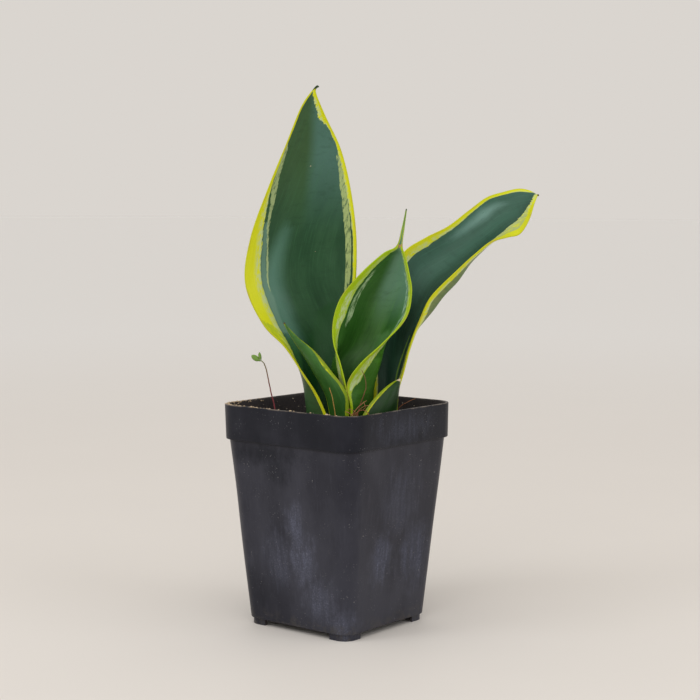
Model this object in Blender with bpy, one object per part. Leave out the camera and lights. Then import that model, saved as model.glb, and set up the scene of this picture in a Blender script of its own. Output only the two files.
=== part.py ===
"""A small snake plant with yellow-edged leaves in a square black nursery pot.

Frame: metres, +Z up, the pot standing on Z = 0.  The pot's sides lie along X and Y.  The origin is
the bottom centre of the whole object's box, so the pot's own axis stands at POT_AXIS.
The leaves are laid out about the pot's axis in the rosette's own frame, which is turned by
ROSETTE_TURN: x runs across the fan of leaves, y runs from its front to its back.
"""
import math

import bmesh
import bpy
from mathutils import Matrix, Vector

MM = 0.001
GAP = 0.3 * MM                      # clearance between pieces that touch

# pot: half widths of a rounded square, and heights
POT_AXIS = (-14.05 * MM, -25.65 * MM)
RIM_HALF = 51.4 * MM
RIM_TOP = 132.8 * MM
BAND_HALF = 51.0 * MM
BAND_BOTTOM = 112.0 * MM
BODY_TOP_HALF = 49.3 * MM
BODY_BOTTOM_HALF = 39.4 * MM
FOOT_HEIGHT = 3.8 * MM
WALL = 1.3 * MM
RIM_CORNER = 13.0 * MM
FOOT_CORNER = 9.0 * MM
EDGE_ROUND = 0.5 * MM
FOOT_ARM = 13.0 * MM
FOOT_INSET = 1.5 * MM
FOOT_WALL = 1.8 * MM
DRAIN_RADIUS = 4.5 * MM
DRAIN_OFFSET = 22.0 * MM

# soil and crown
SOIL_TOP = 119.2 * MM
SOIL_FALL = 2.6 * MM                # how much lower the soil lies at the pot's wall
CROWN_AT = (10.0 * MM, -3.0 * MM)   # in the rosette's frame
CROWN_RADII = (14.0 * MM, 8.0 * MM)
CROWN_DEPTH = 9.0 * MM

ROSETTE_TURN = math.radians(39.0)
ACROSS = 12                         # strips across a leaf
ALONG = 3                           # steps between two stations of a leaf


def material(name, colour, roughness, metallic=0.0):
    """A plain Principled material."""
    mat = bpy.data.materials.new(name)
    mat.use_nodes = True
    shader = mat.node_tree.nodes["Principled BSDF"]
    shader.inputs["Base Color"].default_value = (*colour, 1.0)
    shader.inputs["Roughness"].default_value = roughness
    shader.inputs["Metallic"].default_value = metallic
    return mat


def add_object(name, bm, mat, parent, smooth=True):
    """Turn a bmesh into a named object."""
    mesh = bpy.data.meshes.new(name)
    bm.to_mesh(mesh)
    bm.free()
    mesh.materials.append(mat)
    if smooth:
        mesh.shade_smooth()
        mesh.set_sharp_from_angle(angle=math.radians(40))
    obj = bpy.data.objects.new(name, mesh)
    bpy.context.collection.objects.link(obj)
    obj.parent = parent
    return obj


def add_empty(name, location, turn=0.0, parent=None):
    """An empty that carries the pieces built about it."""
    obj = bpy.data.objects.new(name, None)
    obj.location = location
    obj.rotation_euler = (0.0, 0.0, turn)
    obj.parent = parent
    bpy.context.collection.objects.link(obj)
    return obj


def as_cutter(obj):
    """Mark an object that only shapes another one."""
    obj.hide_render = True
    obj.display_type = "WIRE"


def boolean(obj, other, operation):
    """Join another object to this one, or cut it away."""
    mod = obj.modifiers.new(operation.lower(), "BOOLEAN")
    mod.object = other
    mod.operation = operation
    mod.solver = "EXACT"
    as_cutter(other)


# ---------------------------------------------------------------- rounded squares and lofts

def corner_arc(half, radius, quarter, steps=6):
    """Points round one corner of a rounded square, going anticlockwise."""
    start = quarter * math.pi / 2
    centre = Matrix.Rotation(start, 2) @ Vector((half - radius, half - radius))
    points = []
    for i in range(steps + 1):
        angle = start + i * math.pi / 2 / steps
        points.append(centre + radius * Vector((math.cos(angle), math.sin(angle))))
    return points


def rounded_square(half, radius, z):
    """One closed ring of points at height z."""
    ring = []
    for quarter in range(4):
        ring += [Vector((p.x, p.y, z)) for p in corner_arc(half, radius, quarter)]
    return ring


def loft(bm, rings):
    """Skin rings of equal count.  They run anticlockwise seen from the last ring's side."""
    rows = [[bm.verts.new(p) for p in ring] for ring in rings]
    count = len(rows[0])
    for lower, upper in zip(rows, rows[1:]):
        for i in range(count):
            j = (i + 1) % count
            bm.faces.new((lower[i], lower[j], upper[j], upper[i]))
    bm.faces.new(rows[0][::-1])
    bm.faces.new(rows[-1])


def pot_corner(half):
    """The corner radius that goes with a half width: it grows from the foot to the rim."""
    share = (half - BODY_BOTTOM_HALF) / (RIM_HALF - BODY_BOTTOM_HALF)
    return FOOT_CORNER + (RIM_CORNER - FOOT_CORNER) * share


# ---------------------------------------------------------------- pot

def pot_rings():
    """Up the outer wall, over the band and the rim, then down the inner wall."""
    inner_top = RIM_HALF - WALL
    inner_ledge = BODY_TOP_HALF - WALL
    profile = [
        (BODY_BOTTOM_HALF - EDGE_ROUND, FOOT_HEIGHT),
        (BODY_BOTTOM_HALF, FOOT_HEIGHT + EDGE_ROUND),
        (BODY_TOP_HALF, BAND_BOTTOM),
        (BAND_HALF - EDGE_ROUND, BAND_BOTTOM),
        (BAND_HALF, BAND_BOTTOM + EDGE_ROUND),
        (RIM_HALF, RIM_TOP - EDGE_ROUND),
        (RIM_HALF - 0.6 * EDGE_ROUND, RIM_TOP),
        (inner_top + 0.6 * EDGE_ROUND, RIM_TOP),
        (inner_top, RIM_TOP - EDGE_ROUND),
        (BAND_HALF - WALL, BAND_BOTTOM + WALL),
        (inner_ledge, BAND_BOTTOM + 0.5 * WALL),
        (BODY_BOTTOM_HALF - WALL, FOOT_HEIGHT + WALL),
    ]
    return [rounded_square(half, pot_corner(half), z) for half, z in profile]


def foot_outline(quarter):
    """An L-shaped foot round one corner of the pot's underside."""
    outer_half = BODY_BOTTOM_HALF - FOOT_INSET
    inner_half = outer_half - FOOT_WALL
    turn = Matrix.Rotation(quarter * math.pi / 2, 2)
    outer = corner_arc(outer_half, FOOT_CORNER - FOOT_INSET, quarter)
    inner = corner_arc(inner_half, FOOT_CORNER - FOOT_INSET - 0.8 * FOOT_WALL, quarter)
    reach = outer_half - FOOT_ARM
    outer = [turn @ Vector((outer_half, reach)), *outer, turn @ Vector((reach, outer_half))]
    inner = [turn @ Vector((inner_half, reach)), *inner, turn @ Vector((reach, inner_half))]
    return outer + inner[::-1]


def build_pot(parent):
    plastic = material("black_plastic", (0.030, 0.032, 0.037), 0.48)
    bm = bmesh.new()
    loft(bm, pot_rings())
    pot = add_object("pot", bm, plastic, parent)

    bm = bmesh.new()
    for quarter in range(4):
        outline = foot_outline(quarter)
        levels = (0.0, FOOT_HEIGHT + 0.5 * WALL)
        loft(bm, [[Vector((p.x, p.y, z)) for p in outline] for z in levels])
    boolean(pot, add_object("feet_guide", bm, plastic, parent, smooth=False), "UNION")

    bm = bmesh.new()
    for x, y in ((0, 0), (1, 0), (0, 1), (-1, 0), (0, -1)):
        place = Matrix.Translation((x * DRAIN_OFFSET, y * DRAIN_OFFSET, FOOT_HEIGHT))
        bmesh.ops.create_cone(bm, cap_ends=True, segments=20, radius1=DRAIN_RADIUS,
                              radius2=DRAIN_RADIUS, depth=4 * WALL, matrix=place)
    boolean(pot, add_object("drain_cutter", bm, plastic, parent, smooth=False), "DIFFERENCE")
    return pot


# ---------------------------------------------------------------- soil and crown

def to_pot_frame(x, y):
    """A point of the rosette's frame seen from the pot's frame."""
    return Matrix.Rotation(ROSETTE_TURN, 2) @ Vector((x, y))


def soil_height(x, y):
    """The uneven top of the soil, highest round the crown."""
    away = math.hypot(x, y) / RIM_HALF
    waves = math.sin(410 * x + 1.1) * math.cos(530 * y) + 0.6 * math.sin(900 * y + 700 * x)
    return SOIL_TOP - SOIL_FALL * min(away, 1.3) ** 2 + 0.35 * MM * waves * min(1, 2 * away)


def crown_ring(radii, z, count):
    """An oval about the crown, with its first point where a rounded square has its own."""
    ring = []
    for i in range(count):
        angle = (i + 0.5 - count / 8) * math.tau / count - ROSETTE_TURN + math.pi / 4
        x = CROWN_AT[0] + radii[0] * math.cos(angle)
        y = CROWN_AT[1] + radii[1] * math.sin(angle)
        place = to_pot_frame(x, y)
        ring.append(Vector((place.x, place.y, z)))
    return ring


def build_soil(parent):
    """Fills the pot to a little below the rim, with an open pit for the crown."""
    inner = BODY_TOP_HALF - WALL - 1.3 * GAP
    floor_half = BODY_BOTTOM_HALF - WALL - 1.3 * GAP
    edge_half = BAND_HALF - WALL - 1.5 * GAP
    ledge = BAND_BOTTOM + 0.5 * WALL
    bottom = FOOT_HEIGHT + WALL + GAP
    bevel = 1.0 * MM
    rings = [
        rounded_square(floor_half - bevel, pot_corner(floor_half) - bevel, bottom),
        rounded_square(floor_half, pot_corner(floor_half), bottom + bevel),
        rounded_square(inner, pot_corner(inner), ledge),
        rounded_square(edge_half, pot_corner(edge_half), ledge + 1.7 * MM),
    ]
    edge = rings[-1]
    pit_radii = [radius + GAP for radius in CROWN_RADII]
    pit = crown_ring(pit_radii, SOIL_TOP, len(edge))
    for step in range(7):
        share = step / 6
        ring = []
        for a, b in zip(edge, pit):
            spot = a.lerp(b, share)
            ring.append(Vector((spot.x, spot.y, soil_height(spot.x, spot.y))))
        rings.append(ring)
    rings.append(crown_ring(pit_radii, SOIL_TOP - CROWN_DEPTH - GAP, len(edge)))
    bm = bmesh.new()
    loft(bm, rings)
    return add_object("soil", bm, material("soil_brown", (0.045, 0.030, 0.021), 0.95), parent)


def build_crown(parent):
    """The short stem at soil level that the leaves stand on."""
    levels = [(0.72, 1.0), (0.94, 0.82), (1.0, 0.5), (0.97, 0.18), (0.86, 0.03), (0.5, 0.0)]
    rings = []
    for share, depth in levels:
        radii = [radius * share for radius in CROWN_RADII]
        rings.append(crown_ring(radii, SOIL_TOP - CROWN_DEPTH * depth, 24))
    bm = bmesh.new()
    loft(bm, rings)
    return add_object("crown", bm, material("crown_tan", (0.40, 0.27, 0.10), 0.6), parent)


# ---------------------------------------------------------------- leaves
# A station is (left edge, midrib, right edge, bulge), in mm in the rosette's frame.  Bulge swells
# the flanks of a station that closes like a tube.  The first station stands on the crown.

LEAF_TALL = [
    ((-4.5, -15, 120), (-17, 3, 120), (0, 9, 120), 1.5),
    ((-11.5, -11, 137), (-17.5, 8, 137), (0, 11, 137), 1.5),
    ((-21, -5, 151), (-17, 14, 151), (2, 12, 150), 1),
    ((-31.5, 0, 166), (-17, 19, 167), (5, 14, 166), 0),
    ((-45, 4, 180), (-18, 23, 184), (8, 15, 185), 0),
    ((-55.5, 8, 204), (-20, 25, 208), (10.5, 16, 208), 0),
    ((-52.5, 12, 231), (-19, 27, 234), (10.5, 18, 234), 0),
    ((-42, 16, 261), (-18, 28, 262), (7, 21, 261), 0),
    ((-31.5, 20, 287), (-16, 28, 288), (1, 24, 285), 0),
    ((-23, 23, 308.5), (-15.5, 27, 309), (-8.2, 25, 304.5), 0),
    ((-16.8, 25, 318.7), (-15.2, 25.4, 319.2), (-14, 25, 318.8), 0),
    ((-12.7, 25, 322.2), (-12.2, 25.2, 322.5), (-11.7, 25, 322.2), 0),
]
LEAF_SMALL_LEFT = [
    ((-3.5, -13, 120), (1, -18, 120), (5.5, -19.5, 120), 0),
    ((-7, -10.5, 138), (-2, -17, 138), (5.5, -19, 139), 0),
    ((-14.5, -7, 152), (-10, -14, 152), (-4, -15, 153), 0),
    ((-21.5, -5, 163), (-18, -10, 163), (-14, -11, 164.5), 0),
    ((-28, -4.5, 173), (-26.3, -6.5, 172.5), (-24, -7, 172.5), 0),
    ((-32.4, -5, 181), (-32, -5.2, 181), (-31.6, -5, 180.5), 0),
]
LEAF_CENTRE = [
    ((5.6, -14, 120), (9, 4, 120), (7.8, -14, 120), 9),
    ((5.9, -15.5, 132), (10, 5, 132), (8.1, -15.5, 132), 10.5),
    ((3.9, -15, 145), (11, 6, 145), (6.1, -15, 145), 12),
    ((1.5, -13, 157), (13, 8, 157), (11.5, -15, 157), 11),
    ((-2.5, -9, 170), (18, 11, 169), (27, -13, 170), 4),
    ((-2.5, -6, 183), (23, 12, 183), (40, -8, 184), 0),
    ((2.5, -4, 197), (28, 12, 198), (43.5, -5, 199), 0),
    ((14.5, -1, 211), (32, 11, 211), (42, -2, 211), 0),
    ((27, 2, 222), (35, 8, 221), (40, 2, 220), 0),
    ((35, 4.5, 226.5), (36.7, 5.5, 226), (38.2, 4.5, 226.5), 0),
    ((38.2, 6.5, 237), (38.8, 6.8, 237), (39.4, 6.5, 237), 0),
    ((40.6, 8, 248.5), (40.8, 8.1, 248.7), (41, 8, 248.5), 0),
]
LEAF_RIGHT = [
    ((21, 9, 120), (30, 8, 120), (34, -4, 120), 0),
    ((22, 12, 140), (32.5, 10, 138), (36, -4, 140), 0),
    ((22.5, 15, 160), (35, 12, 155), (39, -3, 151), 0.5),
    ((25, 17.5, 180), (39, 14, 171), (43, -2, 167), 1),
    ((31, 20, 200), (45.5, 16.5, 186), (48, -1, 180.5), 1.5),
    ((39.5, 24, 221), (56.5, 20, 202), (56, 0, 196.5), 2.5),
    ((54, 28, 231), (69, 23, 213.5), (68, 1, 209), 2.5),
    ((67, 31, 237.5), (80.5, 26, 223.5), (80, 3, 220), 1.5),
    ((80, 34, 247.2), (91.5, 28, 233), (91, 5, 228.8), 0.5),
    ((91.5, 36, 255.5), (101.5, 29, 241), (101, 7, 232), 0),
    ((102, 37, 259), (109, 29, 246), (109, 10, 234), 0),
    ((111, 36.5, 261), (115, 29, 251), (115, 16, 242), 0),
    ((117.5, 35, 260), (119.6, 30.5, 256), (118.8, 24, 251), 0),
    ((121, 34, 257.8), (121.6, 33, 257), (121.3, 32, 256), 0),
]
LEAF_SMALL_RIGHT = [
    ((11.5, -18, 120), (25, -21, 120), (34.5, -11, 120), 0),
    ((17, -18, 131), (28.5, -20, 131), (35.2, -11, 132), 0),
    ((24, -16, 139.5), (32, -17, 139), (36, -10.5, 140), 0),
    ((31, -13, 145.3), (34.6, -13.5, 144.6), (36.6, -10, 144.5), 0),
    ((36.4, -9.5, 148), (36.8, -9.6, 148), (37.2, -9.3, 147.7), 0),
]
# name, stations, half thickness at the midrib and at the edge in mm, colour
LEAVES = [
    ("leaf_tall", LEAF_TALL, 1.2, 0.5, (0.045, 0.115, 0.050)),
    ("leaf_small_left", LEAF_SMALL_LEFT, 0.8, 0.4, (0.035, 0.100, 0.040)),
    ("leaf_centre", LEAF_CENTRE, 0.9, 0.45, (0.050, 0.150, 0.035)),
    ("leaf_right", LEAF_RIGHT, 1.1, 0.5, (0.035, 0.085, 0.045)),
    ("leaf_small_right", LEAF_SMALL_RIGHT, 0.8, 0.4, (0.030, 0.095, 0.035)),
]


def smooth_between(before, start, end, after, t):
    """Catmull-Rom blend of four neighbouring values."""
    slope_start = (end - before) / 2
    slope_end = (after - start) / 2
    rest = 2 * start - 2 * end + slope_start + slope_end
    bend = 3 * (end - start) - 2 * slope_start - slope_end
    return ((rest * t + bend) * t + slope_start) * t + start


def resample(stations, steps):
    """Smooth rows of (left, midrib, right, bulge) through the stations."""
    values = []
    for left, middle, right, bulge in stations:
        values.append([Vector(left), Vector(middle), Vector(right), bulge])
    rows = []
    for i in range(len(values) - 1):
        before = values[max(i - 1, 0)]
        after = values[min(i + 2, len(values) - 1)]
        for step in range(steps):
            t = step / steps
            group = zip(before, values[i], values[i + 1], after)
            rows.append([smooth_between(a, b, c, d, t) for a, b, c, d in group])
    rows.append(values[-1])
    return rows


def leaf_section(row, across):
    """Points from the left edge to the right edge, through the midrib."""
    left, middle, right, bulge = row
    half_chord = (right - left) / 2
    depth = (left + right) / 2 - middle
    sideways = Vector((-depth.y, depth.x, 0.0))
    if sideways.length > 0.0:
        sideways.normalize()
    points = []
    for i in range(across + 1):
        s = 2 * i / across - 1
        swell = bulge * math.sin(math.pi * s)
        points.append(middle + s * half_chord + s * s * depth + swell * sideways)
    return points


def leaf_grid(stations, across, steps):
    """The leaf's middle surface, in metres."""
    rows = [leaf_section(row, across) for row in resample(stations, steps)]
    return [[point * MM for point in row] for row in rows]


def grid_normal(grid, i, j):
    """The direction square to the middle surface at one grid point."""
    last_i = len(grid) - 1
    last_j = len(grid[0]) - 1
    up = grid[min(i + 1, last_i)][j] - grid[max(i - 1, 0)][j]
    side = grid[i][min(j + 1, last_j)] - grid[i][max(j - 1, 0)]
    return side.cross(up).normalized()


def build_leaf(name, stations, thick_middle, thick_edge, colour, parent):
    """A curved blade with a thick midrib and thin edges, as one closed body."""
    grid = leaf_grid(stations, ACROSS, ALONG)
    last_i = len(grid) - 1
    bm = bmesh.new()
    faces = ([], [])
    for i, row in enumerate(grid):
        taper = 1.0 - 0.45 * (i / last_i) ** 3
        sides = ([], [])
        for j, point in enumerate(row):
            s = 2 * j / ACROSS - 1
            half = thick_edge + (thick_middle - thick_edge) * (1 - abs(s) ** 2.5)
            offset = grid_normal(grid, i, j) * half * taper * MM
            sides[0].append(bm.verts.new(point + offset))
            sides[1].append(bm.verts.new(point - offset))
        faces[0].append(sides[0])
        faces[1].append(sides[1])
    inner, outer = faces
    for i in range(last_i):
        for j in range(ACROSS):
            bm.faces.new((inner[i][j], inner[i][j + 1], inner[i + 1][j + 1], inner[i + 1][j]))
            bm.faces.new((outer[i][j], outer[i + 1][j], outer[i + 1][j + 1], outer[i][j + 1]))
        bm.faces.new((inner[i][0], inner[i + 1][0], outer[i + 1][0], outer[i][0]))
        bm.faces.new((inner[i + 1][-1], inner[i][-1], outer[i][-1], outer[i + 1][-1]))
    for j in range(ACROSS):
        bm.faces.new((inner[0][j + 1], inner[0][j], outer[0][j], outer[0][j + 1]))
        bm.faces.new((inner[-1][j], inner[-1][j + 1], outer[-1][j + 1], outer[-1][j]))
    return add_object(name, bm, material(name + "_green", colour, 0.34), parent)


# ---------------------------------------------------------------- seedling, roots and fibres

def tube(name, points, radii, mat, parent, sides=6):
    """A thin round strand through points given in mm, with its ends closed."""
    path = [Vector(p) for p in points]
    fine = []
    for i in range(len(path) - 1):
        before = path[max(i - 1, 0)]
        after = path[min(i + 2, len(path) - 1)]
        for step in range(3):
            fine.append(smooth_between(before, path[i], path[i + 1], after, step / 3))
    fine.append(path[-1])
    rings = []
    for i, point in enumerate(fine):
        ahead = fine[min(i + 1, len(fine) - 1)] - fine[max(i - 1, 0)]
        frame = ahead.to_track_quat("Z", "Y")
        radius = radii[0] + (radii[1] - radii[0]) * i / (len(fine) - 1)
        ring = []
        for k in range(sides):
            angle = k * math.tau / sides
            ring.append((point + frame @ Vector((radius * math.cos(angle),
                                                 radius * math.sin(angle), 0.0))) * MM)
        rings.append(ring)
    bm = bmesh.new()
    loft(bm, rings)
    return add_object(name, bm, mat, parent)


STRANDS = [
    ("seedling_stem", (0.42, 0.32), "seedling", [
        (-37.5, 5, 118.6), (-38, 5, 128), (-40.2, 5, 137), (-42, 5, 146),
        (-43, 5, 152.5), (-44.5, 5, 156), (-46, 5, 157.2)]),
    ("root_pale", (0.35, 0.22), "pale", [
        (-0.5, -23.5, 119.4), (-1.6, -22.5, 129.5), (-3.2, -22, 138.5), (-5, -21.5, 144.2)]),
    ("root_brown", (0.35, 0.25), "brown", [
        (10, -22.5, 119.4), (12, -23, 130), (15.3, -22.5, 140), (16.6, -21.5, 145),
        (15.8, -20.5, 150.5), (13.8, -20, 154.5)]),
    ("coir_long", (0.35, 0.3), "coir", [
        (2.5, -25, 119.3), (7, -25.5, 126), (12, -25.2, 133), (17, -24.5, 137)]),
    ("coir_looped", (0.35, 0.3), "coir", [
        (5, -28, 119.3), (9.5, -28.2, 128), (13.5, -28, 131.5), (17.5, -27.6, 130), (19.5, -28, 126)]),
    ("coir_short", (0.35, 0.3), "coir", [
        (13, -31, 119.2), (10.5, -30.8, 125.5), (7, -30.8, 130), (4.5, -30.5, 131)]),
    ("root_red", (0.35, 0.25), "coir", [
        (31, 21, 118.9), (37, 18.5, 127), (42, 17.5, 130.8), (47.5, 17, 133.5)]),
]
STRAND_COLOURS = {
    "seedling": ((0.22, 0.18, 0.08), 0.5),
    "pale": ((0.45, 0.27, 0.09), 0.7),
    "brown": ((0.20, 0.10, 0.05), 0.8),
    "coir": ((0.36, 0.14, 0.07), 0.8),
}


def seed_leaf(name, base, tip, width, parent, mat):
    """A small flat oval leaf from its stalk end to its tip, in mm."""
    base = Vector(base)
    along = Vector(tip) - base
    sideways = along.cross(Vector((0, 1, 0.4))).normalized()
    square = along.cross(sideways).normalized()
    rings = []
    for share, wide in ((0.0, 0.16), (0.12, 0.5), (0.35, 0.93), (0.6, 1.0), (0.85, 0.66), (1.0, 0.14)):
        middle = base + share * along
        ring = []
        for k in range(10):
            angle = k * math.tau / 10
            ring.append((middle + sideways * (width / 2 * wide * math.cos(angle))
                         + square * (0.35 * math.sin(angle))) * MM)
        rings.append(ring)
    bm = bmesh.new()
    loft(bm, rings)
    return add_object(name, bm, mat, parent)


def build_chip(parent):
    """A flake of bark that stands on the soil against the pot's wall."""
    bm = bmesh.new()
    outline = [(-4.2, 0), (3.6, 0.2), (4.8, 4.0), (3.0, 9.5), (0.2, 10.4), (-3.2, 8.2), (-4.8, 3.4)]
    lean = Matrix.Rotation(math.radians(-10), 4, "X")
    turn = Matrix.Rotation(math.radians(52), 4, "Z")
    place = Matrix.Translation((-48.3, 8.0, 117.7)) @ turn @ lean
    rings = []
    for depth in (0.8, -0.8):
        rings.append([(place @ Vector((x, depth, z))) * MM for x, z in outline])
    loft(bm, rings)
    return add_object("bark_chip", bm, material("bark_brown", (0.26, 0.15, 0.09), 0.9), parent, False)


def main():
    for obj in list(bpy.data.objects):
        bpy.data.objects.remove(obj, do_unlink=True)
    pot_centre = add_empty("pot_centre", (*POT_AXIS, 0.0))
    rosette = add_empty("rosette", (0.0, 0.0, 0.0), ROSETTE_TURN, pot_centre)
    build_pot(pot_centre)
    build_soil(pot_centre)
    build_crown(pot_centre)
    for leaf in LEAVES:
        build_leaf(*leaf, rosette)
    strand_materials = {}
    for kind, (colour, roughness) in STRAND_COLOURS.items():
        strand_materials[kind] = material("strand_" + kind, colour, roughness)
    for name, radii, kind, points in STRANDS:
        tube(name, points, radii, strand_materials[kind], rosette)
    green = material("seed_leaf_green", (0.10, 0.22, 0.04), 0.5)
    seed_leaf("seedling_leaf_left", (-46.9, 5, 157.4), (-51.7, 5, 160.8), 3.0, rosette, green)
    seed_leaf("seedling_leaf_right", (-46.2, 5.2, 158.1), (-47.0, 6.4, 162.2), 2.6, rosette, green)
    build_chip(rosette)


main()
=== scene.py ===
# %% [markdown]
# # A young snake plant in a square nursery pot
#
# The real thing is a small potted plant: five stiff leaves with yellow edges, a black plastic pot,
# dark soil, and the small mess that comes with it, such as a weed seedling, loose roots and coconut
# fibre.  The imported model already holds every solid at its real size.  This lesson gives each one
# its finished shape and its finish, one cell at a time.  Lengths are written in millimetres unless
# a comment says otherwise, and are turned into metres with MM when a mesh is made.

# %% Load the fixed frame
import math
import random

import bmesh
import bpy
from mathutils import Matrix, Vector, noise


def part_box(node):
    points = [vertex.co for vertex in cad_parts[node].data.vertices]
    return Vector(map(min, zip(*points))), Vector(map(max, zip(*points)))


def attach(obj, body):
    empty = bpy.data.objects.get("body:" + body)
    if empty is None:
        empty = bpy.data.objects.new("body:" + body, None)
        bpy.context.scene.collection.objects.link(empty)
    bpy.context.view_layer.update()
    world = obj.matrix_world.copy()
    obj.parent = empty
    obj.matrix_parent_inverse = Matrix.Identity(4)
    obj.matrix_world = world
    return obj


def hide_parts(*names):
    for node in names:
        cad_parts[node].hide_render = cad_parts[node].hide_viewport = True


MM = 0.001
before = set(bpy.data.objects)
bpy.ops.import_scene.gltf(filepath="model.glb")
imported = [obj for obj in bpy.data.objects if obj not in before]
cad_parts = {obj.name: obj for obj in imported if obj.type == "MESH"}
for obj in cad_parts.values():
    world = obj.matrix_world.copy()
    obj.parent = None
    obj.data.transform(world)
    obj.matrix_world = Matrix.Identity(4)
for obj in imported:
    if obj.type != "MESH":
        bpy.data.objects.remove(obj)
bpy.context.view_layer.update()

# %% [markdown]
# ## Where the pot and the leaves stand
#
# The pot's sides lie along X and Y, and its own axis isn't the origin, so it is read from the pot
# solid.  The leaves fan out along one corner of the pot.  It is easier to think of them from the
# front, with x to the right, y away and z up, so they are laid out in that turned frame and one
# helper carries a point to where it belongs.

# %% Pot axis and the turned frame of the leaves
pot_low, pot_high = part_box("pot")
POT_AXIS = Vector(((pot_low.x + pot_high.x) / 2, (pot_low.y + pot_high.y) / 2, 0.0))
ROSETTE_TURN = math.radians(39.0)
TURN = Matrix.Rotation(ROSETTE_TURN, 3, "Z")


def from_front(x, y, z):
    """A point seen from the front of the fan of leaves, in mm, as a place in the model."""
    return POT_AXIS + TURN @ Vector((x, y, z)) * MM


def in_pot(x, y, z):
    """A point measured from the pot's axis along its sides, in mm, as a place in the model."""
    return POT_AXIS + Vector((x, y, z)) * MM


print("pot axis, mm:", [round(v / MM, 1) for v in POT_AXIS])

# %% [markdown]
# ## Camera
#
# A small object is flattering from a little way off with a long lens.  The camera stands about a
# metre away, at the height of the leaves, facing one corner of the pot and looking slightly down.

# %% Camera
CAMERA_DISTANCE = 982.4    # from the pot's axis
CAMERA_HEIGHT = 248.1
CAMERA_SIDE = math.radians(39.12)
CAMERA_PAN = math.radians(-0.422)
CAMERA_DIP = math.radians(4.868)
CAMERA_ROLL = math.radians(-0.18)
LENS = 84.77

camera_data = bpy.data.cameras.new("camera")
camera_data.sensor_width = 36.0
camera_data.lens = LENS
camera = bpy.data.objects.new("camera", camera_data)
camera.location = in_pot(CAMERA_DISTANCE * math.sin(CAMERA_SIDE),
                         -CAMERA_DISTANCE * math.cos(CAMERA_SIDE), CAMERA_HEIGHT)
face_corner = Matrix.Rotation(CAMERA_SIDE + CAMERA_PAN, 3, "Z")
look_down = Matrix.Rotation(math.pi / 2 - CAMERA_DIP, 3, "X")
roll = Matrix.Rotation(-CAMERA_ROLL, 3, "Z")
camera.rotation_euler = (face_corner @ look_down @ roll).to_euler()
bpy.context.collection.objects.link(camera)
bpy.context.scene.camera = camera
bpy.context.scene.view_settings.view_transform = "Standard"
print("camera at, mm:", [round(v / MM) for v in camera.location])

# %% [markdown]
# ## Node helpers
#
# Every finish below is a small graph of shader nodes.  Building graphs by hand in Python is wordy,
# so a short class keeps it readable: each method adds one kind of node and returns its output, and
# an input may be a plain number or another node's output.

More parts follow.
